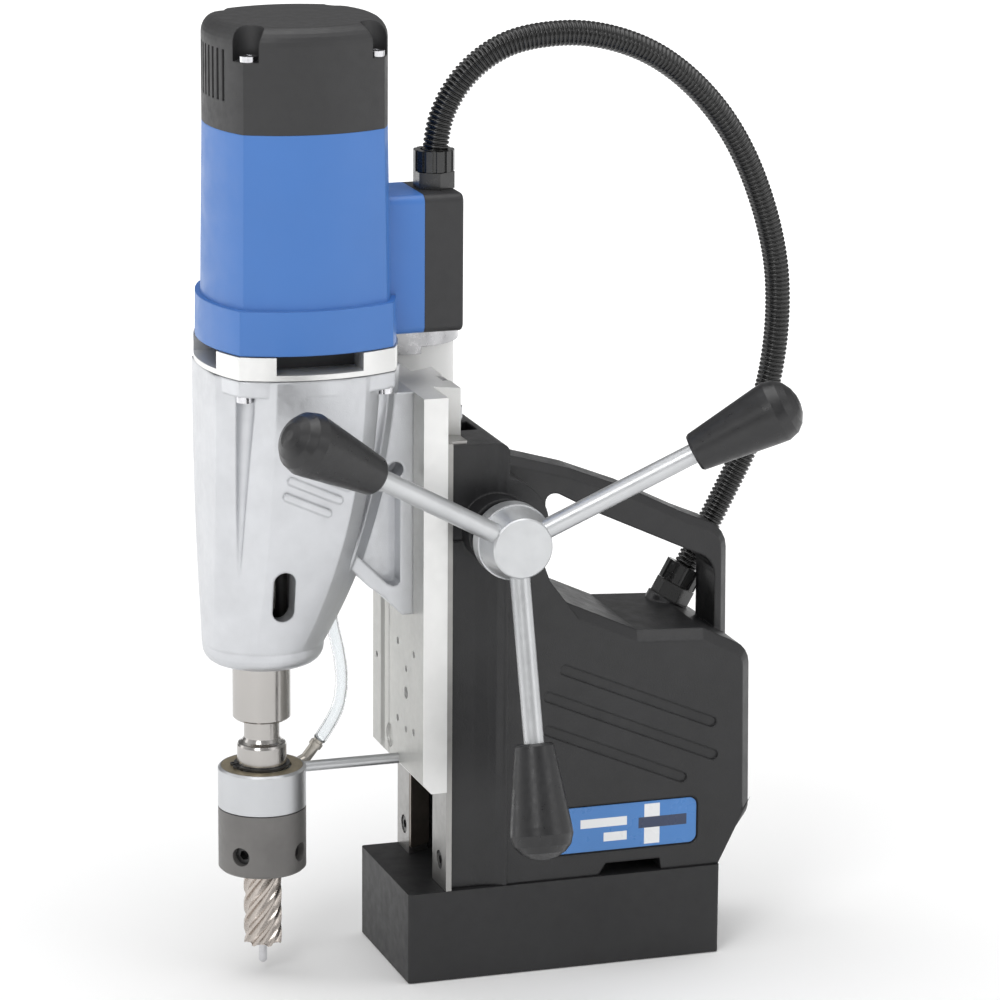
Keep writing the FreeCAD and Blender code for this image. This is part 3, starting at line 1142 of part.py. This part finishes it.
PARTS = {
    "magnet_foot": magnet_foot, "magnet_coil": magnet_coil, "foot_screws": foot_screws,
    "stand_housing": stand_housing, "name_plate": name_plate,
    "guide_rail_near": lambda: guide_rail(1), "guide_rail_far": lambda: guide_rail(-1),
    "stand_screws": stand_screws, "gib_strip": gib_strip, "stop_screw": stop_screw,
    "circuit_board": circuit_board, "switch_panel": switch_panel, "switch_blocks": switch_blocks,
    "magnet_rocker": magnet_rocker, "start_button": lambda: push_button(-1),
    "stop_button": lambda: push_button(1), "clear_cover": clear_cover,
    "mains_gland": mains_gland, "feed_bushes": feed_bushes, "pinion_shaft": pinion_shaft,
    "feed_hub": feed_hub, "head_slide": head_slide, "feed_rack": feed_rack,
    "slide_screws": slide_screws, "gear_housing": gear_housing,
    "gear_case_cover": gear_case_cover, "gear_case_screws": gear_case_screws,
    "motor_housing": motor_housing, "motor_cap": motor_cap, "cap_screws": cap_screws,
    "stator": stator, "brush_gear": brush_gear,
    "armature": armature, "counter_gears": counter_gears, "gear_bearings": gear_bearings,
    "switch_box_cover": switch_box_cover, "upper_gland": lambda: cable_gland(GLAND_TOP, 0),
    "lower_gland": lambda: cable_gland(GLAND_LOW, GLAND_TILT),
    "corrugated_conduit": corrugated_conduit, "spindle": spindle, "spindle_gear": spindle_gear,
    "arbor": arbor, "arbor_fittings": arbor_fittings, "annular_cutter": annular_cutter,
    "pilot_pin": pilot_pin, "ejector_spring": ejector_spring, "coolant_ring": coolant_ring,
    "ring_washer": ring_washer, "retaining_rod": retaining_rod, "coolant_nipple": coolant_nipple,
    "coolant_hose": coolant_hose, "coolant_bottle": coolant_bottle, "bottle_cap": bottle_cap,
    "bottle_bracket": bottle_bracket,
}
for place, degrees in ARM_PLACES.items():
    PARTS[f"feed_arm_{place}"] = lambda at=math.radians(degrees): feed_arm(at)
    PARTS[f"feed_knob_{place}"] = lambda at=math.radians(degrees): feed_knob(at)

os.makedirs("parts", exist_ok=True)
for name, make in PARTS.items():
    make().exportStep(f"parts/{name}.step")
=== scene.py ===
import math

import bmesh
import bpy
from mathutils import Matrix, Vector


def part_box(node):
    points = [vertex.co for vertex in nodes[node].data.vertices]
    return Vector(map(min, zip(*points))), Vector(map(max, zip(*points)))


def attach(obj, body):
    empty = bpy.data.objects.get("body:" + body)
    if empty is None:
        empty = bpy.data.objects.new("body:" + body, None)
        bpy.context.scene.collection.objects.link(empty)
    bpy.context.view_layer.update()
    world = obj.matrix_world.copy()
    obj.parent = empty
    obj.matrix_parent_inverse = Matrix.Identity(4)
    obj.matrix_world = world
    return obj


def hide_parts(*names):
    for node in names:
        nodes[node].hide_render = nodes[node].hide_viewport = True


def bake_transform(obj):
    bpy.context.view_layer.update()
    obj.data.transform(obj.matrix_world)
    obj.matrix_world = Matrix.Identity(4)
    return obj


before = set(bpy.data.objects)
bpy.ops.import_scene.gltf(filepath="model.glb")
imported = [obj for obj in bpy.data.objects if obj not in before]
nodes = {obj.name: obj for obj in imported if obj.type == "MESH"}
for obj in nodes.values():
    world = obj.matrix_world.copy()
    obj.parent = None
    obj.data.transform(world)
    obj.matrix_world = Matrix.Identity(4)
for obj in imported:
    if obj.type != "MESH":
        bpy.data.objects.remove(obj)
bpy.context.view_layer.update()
scene = bpy.context.scene
MM = 0.001
MIX_A, MIX_B, MIX_RESULT = 6, 7, 2    # a colour mix node's sockets


def mm(*values):
    return Vector(values) * MM


# Camera
YAW, PITCH, ROLL = math.radians(18.34), math.radians(14.38), math.radians(0.40)
CAMERA_AT = (2.1573, -0.7370, 0.8105)
LENS = 174.54


def make_camera():
    forward = Vector((-math.cos(YAW) * math.cos(PITCH), math.sin(YAW) * math.cos(PITCH),
                      -math.sin(PITCH)))
    level = Vector((math.sin(YAW), math.cos(YAW), 0))
    upright = level.cross(forward)
    right = level * math.cos(ROLL) + upright * math.sin(ROLL)
    up = upright * math.cos(ROLL) - level * math.sin(ROLL)
    data = bpy.data.cameras.new("camera")
    data.sensor_width = 36.0
    data.lens = LENS
    data.clip_start, data.clip_end = 0.05, 50
    camera = bpy.data.objects.new("camera", data)
    scene.collection.objects.link(camera)
    camera.matrix_world = Matrix((
        (right.x, up.x, -forward.x, CAMERA_AT[0]),
        (right.y, up.y, -forward.y, CAMERA_AT[1]),
        (right.z, up.z, -forward.z, CAMERA_AT[2]),
        (0, 0, 0, 1)))
    scene.camera = camera


make_camera()


# Materials
def new_material(name):
    material = bpy.data.materials.new(name)
    material.use_nodes = True
    tree = material.node_tree
    tree.nodes.clear()
    output = tree.nodes.new("ShaderNodeOutputMaterial")
    shader = tree.nodes.new("ShaderNodeBsdfPrincipled")
    tree.links.new(shader.outputs["BSDF"], output.inputs["Surface"])
    return material, tree, shader


def noise_of(tree, scale, stretch=(1, 1, 1), detail=3.0, rough=0.55):
    """Noise in the piece's own metres; scale is in features per metre."""
    where = tree.nodes.new("ShaderNodeTexCoord")
    mapping = tree.nodes.new("ShaderNodeMapping")
    mapping.inputs["Scale"].default_value = stretch
    noise = tree.nodes.new("ShaderNodeTexNoise")
    noise.inputs["Scale"].default_value = scale
    noise.inputs["Detail"].default_value = detail
    noise.inputs["Roughness"].default_value = rough
    tree.links.new(where.outputs["Object"], mapping.inputs["Vector"])
    tree.links.new(mapping.outputs["Vector"], noise.inputs["Vector"])
    return noise.outputs["Fac"]


def spread(tree, value, low, high, frm=0.3, to=0.7):
    """The value, taken from the range frm..to to the range low..high."""
    node = tree.nodes.new("ShaderNodeMapRange")
    node.inputs["From Min"].default_value = frm
    node.inputs["From Max"].default_value = to
    node.inputs["To Min"].default_value = low
    node.inputs["To Max"].default_value = high
    tree.links.new(value, node.inputs["Value"])
    return node.outputs["Result"]


def tint(tree, value, color, amount):
    """The colour, darker and lighter by amount as value goes from low to high."""
    mix = tree.nodes.new("ShaderNodeMix")
    mix.data_type = "RGBA"
    mix.inputs[MIX_A].default_value = (*[c * (1 - amount) for c in color], 1)
    mix.inputs[MIX_B].default_value = (*[min(1, c * (1 + amount)) for c in color], 1)
    tree.links.new(spread(tree, value, 0, 1), mix.inputs[0])
    return mix.outputs[MIX_RESULT]


def surface(name, color, rough, metal=0.0, mottle=(40, 0.05), rough_spread=0.06, grain=None,
            fine=None, coat=0.0, edge=0.5, **sockets):
    """A finish with cloudy colour and roughness, relief and softened edges.

    mottle is (features per metre, share of the colour), grain and fine are (features per metre,
    stretch, height in mm), and edge is the radius in mm that a sharp edge appears to have."""
    material, tree, shader = new_material(name)
    cloud = noise_of(tree, mottle[0])
    tree.links.new(tint(tree, cloud, color, mottle[1]), shader.inputs["Base Color"])
    patches = noise_of(tree, mottle[0] * 5)
    tree.links.new(spread(tree, patches, rough - rough_spread, rough + rough_spread),
                   shader.inputs["Roughness"])
    shader.inputs["Metallic"].default_value = metal
    shader.inputs["Coat Weight"].default_value = coat
    shader.inputs["Coat Roughness"].default_value = 0.12
    for socket, value in sockets.items():
        shader.inputs[socket.replace("_", " ")].default_value = value
    normal = None
    if edge:
        bevel = tree.nodes.new("ShaderNodeBevel")
        bevel.samples = 4
        bevel.inputs["Radius"].default_value = edge * MM
        normal = bevel.outputs["Normal"]
    for layer in filter(None, (grain, fine)):
        scale, stretch, height = layer
        bump = tree.nodes.new("ShaderNodeBump")
        bump.inputs["Strength"].default_value = 1.0
        bump.inputs["Distance"].default_value = height * MM
        tree.links.new(noise_of(tree, scale, stretch), bump.inputs["Height"])
        if normal is not None:
            tree.links.new(normal, bump.inputs["Normal"])
        normal = bump.outputs["Normal"]
    if normal is not None:
        tree.links.new(normal, shader.inputs["Normal"])
    return material


def printed(material, blocks):
    """Lays plain coloured blocks (y0, y1, z0, z1, colour) over a finish, in mm."""
    tree = material.node_tree
    socket = next(n for n in tree.nodes if n.type == "BSDF_PRINCIPLED").inputs["Base Color"]
    where = tree.nodes.new("ShaderNodeTexCoord")
    split = tree.nodes.new("ShaderNodeSeparateXYZ")
    tree.links.new(where.outputs["Object"], split.inputs["Vector"])
    for y0, y1, z0, z1, color in blocks:
        inside = None
        for axis, low, high in (("Y", y0, y1), ("Z", z0, z1)):
            for limit, operation in ((low, "GREATER_THAN"), (high, "LESS_THAN")):
                test = tree.nodes.new("ShaderNodeMath")
                test.operation = operation
                test.inputs[1].default_value = limit * MM
                tree.links.new(split.outputs[axis], test.inputs[0])
                if inside is not None:
                    both = tree.nodes.new("ShaderNodeMath")
                    both.operation = "MULTIPLY"
                    tree.links.new(inside, both.inputs[0])
                    tree.links.new(test.outputs[0], both.inputs[1])
                    test = both
                inside = test.outputs[0]
        mix = tree.nodes.new("ShaderNodeMix")
        mix.data_type = "RGBA"
        mix.inputs[MIX_B].default_value = (*color, 1)
        tree.links.new(socket.links[0].from_socket, mix.inputs[MIX_A])
        tree.links.new(inside, mix.inputs[0])
        tree.links.new(mix.outputs[MIX_RESULT], socket)


EVEN = (1, 1, 1)    # grain that runs in no direction
FINISH = {
    "foot": surface("foot_black", (0.013, 0.013, 0.014), 0.5, mottle=(30, 0.15),
                    grain=(1500, EVEN, 0.02)),
    "stand": surface("stand_black", (0.011, 0.011, 0.012), 0.36, mottle=(25, 0.15),
                     grain=(1300, EVEN, 0.11), fine=(420, EVEN, 0.05), edge=1.6),
    "black_plastic": surface("black_plastic", (0.022, 0.022, 0.023), 0.5,
                             grain=(1500, EVEN, 0.05), edge=0.8),
    "knob": surface("knob_black", (0.013, 0.013, 0.014), 0.36, mottle=(60, 0.15),
                    grain=(2500, EVEN, 0.02), rough_spread=0.1),
    "gland": surface("gland_black", (0.010, 0.010, 0.010), 0.3, mottle=(60, 0.15), edge=0.4,
                     coat=0.3),
    "conduit": surface("conduit_black", (0.006, 0.006, 0.006), 0.26, mottle=(80, 0.2), edge=0,
                       coat=0.2),
    "blue": surface("motor_blue", (0.050, 0.165, 0.465), 0.42, mottle=(20, 0.03),
                    grain=(1200, EVEN, 0.02), edge=1.0),
    "casting": surface("casting_silver", (0.57, 0.58, 0.60), 0.36, metal=0.75, mottle=(50, 0.05),
                       grain=(1500, EVEN, 0.075), fine=(420, EVEN, 0.05), edge=1.8),
    "slide": surface("slide_aluminium", (0.76, 0.76, 0.75), 0.38, metal=0.7, mottle=(60, 0.03),
                     grain=(700, (1, 1, 0.05), 0.012), edge=0.3),
    # A darker copy of the slide's aluminium: painted shade for the slide's face towards the spindle.
    "shaded_slide": surface("slide_painted_shade", (0.50, 0.50, 0.48), 0.42, metal=0.7, mottle=(60, 0.05),
                           grain=(900, (1, 1, 0.05), 0.012), edge=0.3),
    "rail": surface("rail_steel", (0.34, 0.335, 0.325), 0.34, metal=0.85, mottle=(60, 0.06),
                    grain=(900, (1, 1, 0.04), 0.012), edge=0.3),
    "steel": surface("steel", (0.42, 0.42, 0.43), 0.30, metal=1.0, mottle=(90, 0.1),
                     grain=(1500, (1, 1, 0.1), 0.008), edge=0.3),
    "screw": surface("screw_steel", (0.62, 0.62, 0.64), 0.2, metal=1.0, mottle=(150, 0.1),
                     edge=0.3),
    "dark_screw": surface("screw_dark", (0.06, 0.06, 0.06), 0.32, metal=0.8, mottle=(150, 0.1),
                          edge=0.25),
    "spindle": surface("spindle_steel", (0.42, 0.405, 0.39), 0.2, metal=1.0, mottle=(40, 0.03),
                       rough_spread=0.03, grain=(2600, (0.02, 0.02, 1), 0.0015), edge=0.4),
    "arbor": surface("arbor_grey", (0.16, 0.155, 0.15), 0.46, metal=0.35, mottle=(60, 0.08),
                     grain=(1200, EVEN, 0.02), edge=0.6),
    "ring": surface("ring_aluminium", (0.54, 0.55, 0.565), 0.34, metal=0.85, mottle=(60, 0.02),
                    rough_spread=0.02, edge=0.4),
    "hub": surface("hub_silver", (0.55, 0.56, 0.57), 0.36, metal=0.8, mottle=(60, 0.05),
                   grain=(2200, EVEN, 0.015), edge=0.4),
    "cutter": surface("cutter_steel", (0.54, 0.49, 0.45), 0.26, metal=1.0, mottle=(200, 0.06),
                      edge=0),
    "brass": surface("brass", (0.62, 0.47, 0.22), 0.32, metal=1.0, mottle=(150, 0.1), edge=0.3),
    "gib": surface("gib_bronze", (0.24, 0.21, 0.18), 0.36, metal=0.9, mottle=(150, 0.1),
                   edge=0.2),
    "nickel": surface("nipple_nickel", (0.52, 0.49, 0.44), 0.36, metal=0.7, mottle=(150, 0.1),
                      edge=0.3),
    "washer": surface("ring_washer", (0.42, 0.36, 0.25), 0.4, metal=0.8, mottle=(250, 0.15),
                      edge=0.2),
    "label": surface("label_blue", (0.045, 0.19, 0.50), 0.3, mottle=(20, 0.02), edge=0.2,
                     coat=0.4),
    "bottle": surface("bottle_white", (0.86, 0.86, 0.85), 0.42, mottle=(30, 0.02)),
    "hose": surface("hose_clear", (0.93, 0.95, 0.96), 0.06, mottle=(40, 0.01), rough_spread=0.01,
                    edge=0, Transmission_Weight=0.95, IOR=1.3),
    "clear": surface("cover_clear", (0.9, 0.93, 0.94), 0.08, mottle=(40, 0.01), rough_spread=0.02,
                     Transmission_Weight=0.9, IOR=1.4),
    "red": surface("plastic_red", (0.55, 0.02, 0.015), 0.32, mottle=(60, 0.04), edge=0.4),
    "green": surface("plastic_green", (0.02, 0.32, 0.06), 0.32, mottle=(60, 0.04), edge=0.4),
    "board": surface("board_green", (0.02, 0.12, 0.05), 0.5, mottle=(300, 0.2), edge=0.1),
    "laminations": surface("laminations", (0.16, 0.15, 0.15), 0.5, metal=0.7, mottle=(300, 0.1),
                           grain=(900, (0.05, 0.05, 2), 0.05)),
    # Near black painted shade for the walls of the cover's air outlets.
    "dark": surface("outlet_painted_shade", (0.02, 0.02, 0.021), 0.6, mottle=(80, 0.1), edge=0),
    "resin": surface("coil_resin", (0.02, 0.018, 0.016), 0.35, mottle=(80, 0.15)),
}
PALE_INK, DARK_INK = (0.78, 0.79, 0.80), (0.015, 0.03, 0.08)
printed(FINISH["label"], [
    (41, 49, 58.8, 79.2, PALE_INK),
    (8, 32, 69.5, 74, PALE_INK),
    (20, 32, 62, 66.5, PALE_INK),
    (38, 63, 67, 72.5, DARK_INK)])
WEARS = {
    "foot": "magnet_foot",
    "resin": "magnet_coil",
    "stand": "stand_housing",
    "label": "name_plate",
    "rail": "guide_rail_near guide_rail_far",
    "steel": "pinion_shaft feed_rack counter_gears gear_bearings spindle_gear ejector_spring "
             "bottle_bracket stop_screw",
    "screw": "foot_screws slide_screws gear_case_screws cap_screws pilot_pin",
    "dark_screw": "stand_screws arbor_fittings",
    "gib": "gib_strip",
    "nickel": "coolant_nipple",
    "brass": "feed_bushes",
    "washer": "ring_washer",
    "board": "circuit_board",
    "black_plastic": "switch_panel switch_blocks motor_cap switch_box_cover bottle_cap "
                     "mains_gland",
    "red": "magnet_rocker stop_button",
    "green": "start_button",
    "clear": "clear_cover",
    "hub": "feed_hub feed_arm_down feed_arm_front feed_arm_rear retaining_rod",
    "knob": "feed_knob_down feed_knob_front feed_knob_rear",
    "gland": "upper_gland lower_gland",
    "slide": "head_slide gear_case_cover",
    "casting": "gear_housing",
    "blue": "motor_housing",
    "laminations": "stator brush_gear armature",
    "spindle": "spindle",
    "arbor": "arbor",
    "ring": "coolant_ring",
    "bottle": "coolant_bottle",
}
for finish, names in WEARS.items():
    for name in names.split():
        piece = nodes[name]
        piece.data.materials.clear()
        piece.data.materials.append(FINISH[finish])


def second_finish(name, finish, chosen):
    """Gives the faces that chosen(centre, normal) picks, in mm, a second finish."""
    piece = nodes[name]
    piece.data.materials.append(FINISH[finish])
    turn = piece.matrix_world.to_3x3()
    for face in piece.data.polygons:
        if chosen(piece.matrix_world @ face.center / MM, turn @ face.normal):
            face.material_index = 1


BODY_TOP = 85
OUTLET_LOW, OUTLET_HIGH = 306, 316
OUTLET_HALF, OUTLET_FRONT = 30.5, -158.5


def on_neck(at, normal):
    """The arbor's bright neck, above its grey body."""
    return at.z > BODY_TOP


def shaded_face(at, normal):
    """The slide's face towards the spindle, which takes a darker copy of the slide's aluminium as
    painted shade.
    """
    return normal.y < -0.9


def in_outlet(at, normal):
    """The walls of the cover's air outlets, open to the dark inside; they take a near black finish
    as painted shade.
    """
    inside = abs(at.x) < OUTLET_HALF and at.y > OUTLET_FRONT
    return inside and OUTLET_LOW < at.z < OUTLET_HIGH and abs(normal.z) < 0.5


second_finish("arbor", "spindle", on_neck)
# The slide's front faces take the darker copy of its aluminium as painted shade.
second_finish("head_slide", "shaded_slide", shaded_face)
# The cover's outlet walls take the near black painted shade.
second_finish("gear_case_cover", "dark", in_outlet)


# The corrugated conduit and the coolant hose
CONDUIT_R = 6.2 * MM
RIDGE_PITCH, RIDGE_DEPTH = 2.3 * MM, 0.95 * MM
HOSE_R, HOSE_BORE = 3.2 * MM, 2.3 * MM
CONDUIT_ROUTE = [
    mm(0, -56, 386), mm(0, -56, 408), mm(0, -47.6, 429), mm(0, -32, 445), mm(-1.5, -10.5, 453.7),
    mm(-3.5, 27, 454), mm(-6, 66.5, 437.5), mm(-9, 101.5, 400), mm(-13, 123.5, 346),
    mm(-17, 128, 301), mm(-20.5, 121.5, 256.5), mm(-23.5, 97.63, 206.04), mm(-23.5, 75.81, 166.69)]
HOSE_ROUTE = [
    mm(-6, -111.5, 113), mm(-5, -103, 124.8), mm(-4.2, -100.2, 140), mm(-4.8, -101.2, 155),
    mm(-8.5, -104.6, 172), mm(-22, -103, 190), mm(-44, -92, 206), mm(-62, -70, 219),
    mm(-70.5, -48.5, 238), mm(-70.5, -48.5, 262)]


def centreline(route):
    """The points of the smooth spline that a cord's route controls."""
    data = bpy.data.curves.new("route", "CURVE")
    data.dimensions = "3D"
    data.resolution_u = 40
    spline = data.splines.new("NURBS")
    spline.points.add(len(route) - 1)
    for point, at in zip(spline.points, route):
        point.co = (*at, 1)
    spline.order_u = 3
    spline.use_endpoint_u = True
    curve = bpy.data.objects.new("route", data)
    scene.collection.objects.link(curve)
    bpy.context.view_layer.update()
    mesh = bpy.data.meshes.new_from_object(curve)
    points = [v.co.copy() for v in mesh.vertices]
    bpy.data.objects.remove(curve)
    bpy.data.meshes.remove(mesh)
    return points


def length_of(points):
    return sum((b - a).length for a, b in zip(points, points[1:]))


def evenly(points, spacing):
    """Points the same distance apart along a line, with the line's direction at each."""
    total = length_of(points)
    count = max(2, round(total / spacing))
    out, walked, index = [], 0.0, 0
    for step in range(count + 1):
        target = total * step / count
        span = points[index + 1] - points[index]
        while index < len(points) - 2 and walked + span.length < target:
            walked += span.length
            index += 1
            span = points[index + 1] - points[index]
        share = min(1.0, (target - walked) / span.length)
        out.append((points[index] + span * share, span.normalized()))
    return out


def sweep(name, stations, sides):
    """A tube through (centre, direction, radius) stations, without twist."""
    mesh = bmesh.new()
    side = stations[0][1].orthogonal().normalized()
    rings = []
    for centre, along, radius in stations:
        side = (side - along * side.dot(along)).normalized()
        other = along.cross(side)
        rings.append([mesh.verts.new(centre + (side * math.cos(a) + other * math.sin(a)) * radius)
                      for a in (2 * math.pi * k / sides for k in range(sides))])
    for low, high in zip(rings, rings[1:]):
        for k in range(sides):
            mesh.faces.new((low[k], low[(k + 1) % sides], high[(k + 1) % sides], high[k]))
    mesh.faces.new(rings[0][::-1])
    mesh.faces.new(rings[-1])
    return finish_mesh(name, mesh)


def hose_wall(name, marks, outer, inner, sides):
    """A tube with a bore, without twist."""
    mesh = bmesh.new()
    side = marks[0][1].orthogonal().normalized()
    rings = []
    for centre, along in marks:
        side = (side - along * side.dot(along)).normalized()
        other = along.cross(side)
        rings.append([[mesh.verts.new(centre + (side * math.cos(a) + other * math.sin(a)) * radius)
                       for a in (2 * math.pi * k / sides for k in range(sides))]
                      for radius in (outer, inner)])
    strips = [(low[wall], high[wall]) for low, high in zip(rings, rings[1:]) for wall in (0, 1)]
    strips += [(end[0], end[1]) for end in (rings[0], rings[-1])]
    for low, high in strips:
        for k in range(sides):
            mesh.faces.new((low[k], low[(k + 1) % sides], high[(k + 1) % sides], high[k]))
    return finish_mesh(name, mesh)


def finish_mesh(name, mesh, smooth=True):
    bmesh.ops.recalc_face_normals(mesh, faces=mesh.faces)
    for face in mesh.faces:
        face.smooth = smooth
    data = bpy.data.meshes.new(name)
    mesh.to_mesh(data)
    mesh.free()
    piece = bpy.data.objects.new(name, data)
    scene.collection.objects.link(piece)
    return piece


def corrugated(name, points, pitch, radius, depth):
    """A tube with rounded ridges and narrow valleys, one ridge each pitch."""
    profile = [(0.0, depth), (0.14, depth * 0.85), (0.24, depth * 0.25), (0.40, 0.0), (0.62, 0.0),
               (0.78, depth * 0.25), (0.88, depth * 0.85)]
    marks = evenly(points, pitch)
    stations = []
    for (a, along_a), (b, along_b) in zip(marks, marks[1:]):
        for share, inward in profile:
            along = along_a.lerp(along_b, share).normalized()
            stations.append((a.lerp(b, share), along, radius - inward))
    stations.append((marks[-1][0], marks[-1][1], radius - depth))
    return sweep(name, stations, 28)


conduit_line = centreline(CONDUIT_ROUTE)
conduit = corrugated("conduit", conduit_line, RIDGE_PITCH, CONDUIT_R, RIDGE_DEPTH)
conduit.data.materials.append(FINISH["conduit"])
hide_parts("corrugated_conduit")
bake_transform(conduit)

hose_line = centreline(HOSE_ROUTE)
hose = hose_wall("coolant_tube", evenly(hose_line, 2 * MM), HOSE_R, HOSE_BORE, 24)
hose.data.materials.append(FINISH["hose"])
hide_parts("coolant_hose")
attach(hose, "head")


# The annular cutter: lands and round flutes wind up its body, and its shank is in the arbor
FLUTES = 7
FLUTE_POINTS = 14
FLUTE_DEPTH = 2.1 * MM
LAND = 0.22               # share of a flute's turn
GULLET = 0.6              # rise of the lower edge between the teeth, as a share of the depth
CUTTER_TURN = math.radians(190)
CUTTER_ROWS = 90
CUTTER_R, SHANK_R, CORE_R, PILOT_R = 9.2 * MM, 9.5 * MM, 6.6 * MM, 2.1 * MM
FLUTE_TOP, CORE_TOP = 52.8 * MM, 48 * MM
CORE_RISE = 1.2 * MM      # the core's edge stands above the teeth
TOOTH_ANGLE = math.radians(38)


def flute_depth(share):
    """How deep the flute is at a share of one flute's turn; the land comes first."""
    if share <= LAND:
        return 0.0
    across = (share - LAND) / (1 - LAND)
    return FLUTE_DEPTH * math.sin(math.pi * across ** 0.75) ** 0.6


def cutter():
    low, high = (Vector(corner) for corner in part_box("annular_cutter"))
    axis = (low + high) / 2
    count = FLUTES * FLUTE_POINTS
    fluted = [flute_depth((k / FLUTE_POINTS) % 1.0) for k in range(count)]
    plain = [0.0] * count
    mesh = bmesh.new()

    def ring(radius, z, depths, gullet, turn):
        verts = []
        for k, depth in enumerate(depths):
            angle = 2 * math.pi * k / count + turn
            verts.append(mesh.verts.new((axis.x + (radius - depth) * math.cos(angle),
                                         axis.y + (radius - depth) * math.sin(angle),
                                         z + gullet * depth)))
        return verts

    rings = []
    for row in range(CUTTER_ROWS + 1):
        share = row / CUTTER_ROWS
        gullet = GULLET if row == 0 else 0.0
        rings.append(ring(CUTTER_R, low.z + (FLUTE_TOP - low.z) * share, fluted, gullet,
                          CUTTER_TURN * share))
    for radius, z in ((SHANK_R, FLUTE_TOP), (SHANK_R, high.z), (PILOT_R, high.z),
                      (PILOT_R, CORE_TOP), (CORE_R, CORE_TOP), (CORE_R, low.z + CORE_RISE)):
        rings.append(ring(radius, z, plain, 0.0, CUTTER_TURN))
    shift = round(CUTTER_TURN / (2 * math.pi) * count)
    rings.append(rings[0][shift:] + rings[0][:shift])
    for lower, upper in zip(rings, rings[1:]):
        for k in range(count):
            mesh.faces.new((lower[k], lower[(k + 1) % count], upper[(k + 1) % count], upper[k]))
    piece = finish_mesh("cutter", mesh)
    piece.data.set_sharp_from_angle(angle=TOOTH_ANGLE)
    return piece


annular_cutter = cutter()
annular_cutter.data.materials.append(FINISH["cutter"])
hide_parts("annular_cutter")
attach(annular_cutter, "spindle")


# Floor and light
FLOOR_SIZE = 6.0
FLOOR_GLOW = (0.05, 0.7)       # strength under the object and far from it
GLOW_REACH = (0.15, 1.6)       # metres from the object where the glow starts and is full
FRONT = (0.949, -0.315, 0)     # level, from the object to the side that faces the camera
SKY = ((0.14, 0.16), (0.36, 0.85), (0.60, 0.80), (0.80, 0.45))    # (place from back to front, level)
SKY_ENDS = (0.30, 0.50)


def make_stage():
    """A pale floor that fades into white far from the object: painted light, as the floor glows
    faintly under the object and strongly far from it.
    """
    mesh = bmesh.new()
    bmesh.ops.create_grid(mesh, x_segments=1, y_segments=1, size=FLOOR_SIZE)
    floor = finish_mesh("floor", mesh, False)
    floor.location.z = -0.0005
    material, tree, shader = new_material("floor_pale")
    tree.links.new(tint(tree, noise_of(tree, 2.0), (0.9, 0.9, 0.9), 0.01),
                   shader.inputs["Base Color"])
    shader.inputs["Roughness"].default_value = 0.6
    # Painted light: the floor glows, faintly under the object and strongly far from it.
    shader.inputs["Emission Color"].default_value = (1, 1, 1, 1)
    where = tree.nodes.new("ShaderNodeTexCoord")
    away = tree.nodes.new("ShaderNodeVectorMath")
    away.operation = "LENGTH"
    tree.links.new(where.outputs["Object"], away.inputs[0])
    tree.links.new(spread(tree, away.outputs["Value"], *FLOOR_GLOW, *GLOW_REACH),
                   shader.inputs["Emission Strength"])
    floor.data.materials.append(material)
    make_world()


def make_world():
    """White where it is seen; its light is bright at the object's sides and dimmer elsewhere."""
    world = bpy.data.worlds.new("studio")
    world.use_nodes = True
    tree = world.node_tree
    background = tree.nodes["Background"]
    where = tree.nodes.new("ShaderNodeTexCoord")
    towards = tree.nodes.new("ShaderNodeVectorMath")
    towards.operation = "DOT_PRODUCT"
    towards.inputs[1].default_value = FRONT
    tree.links.new(where.outputs["Generated"], towards.inputs[0])
    ramp = tree.nodes.new("ShaderNodeValToRGB")
    steps = ramp.color_ramp.elements
    for step, level in zip(steps, SKY_ENDS):
        step.color = (level, level, level, 1)
    for place, level in SKY:
        steps.new(place).color = (level, level, level, 1)
    tree.links.new(spread(tree, towards.outputs["Value"], 0, 1, -1, 1), ramp.inputs["Fac"])
    path = tree.nodes.new("ShaderNodeLightPath")
    mix = tree.nodes.new("ShaderNodeMix")
    mix.data_type = "RGBA"
    mix.inputs[MIX_B].default_value = (1, 1, 1, 1)
    tree.links.new(path.outputs["Is Camera Ray"], mix.inputs[0])
    tree.links.new(ramp.outputs["Color"], mix.inputs[MIX_A])
    tree.links.new(mix.outputs[MIX_RESULT], background.inputs["Color"])
    scene.world = world


def light(name, at, towards, size, power):
    data = bpy.data.lights.new(name, "AREA")
    data.shape = "RECTANGLE"
    data.size, data.size_y = size
    data.energy = power
    lamp = bpy.data.objects.new(name, data)
    lamp.location = at
    lamp.rotation_euler = (Vector(towards) - Vector(at)).to_track_quat("-Z", "Y").to_euler()
    scene.collection.objects.link(lamp)


make_stage()
light("key", (1.5, -1.3, 1.6), (0, -0.05, 0.25), (0.8, 0.8), 13)
light("fill", (1.6, 1.4, 0.9), (0, 0, 0.2), (1.2, 1.2), 5)
light("rim", (-0.9, -1.5, 0.7), (0, -0.1, 0.3), (0.5, 1.4), 2.5)
light("top", (0, 0, 2.0), (0, 0, 0), (1.8, 1.8), 19)
scene.view_settings.view_transform = "Standard"
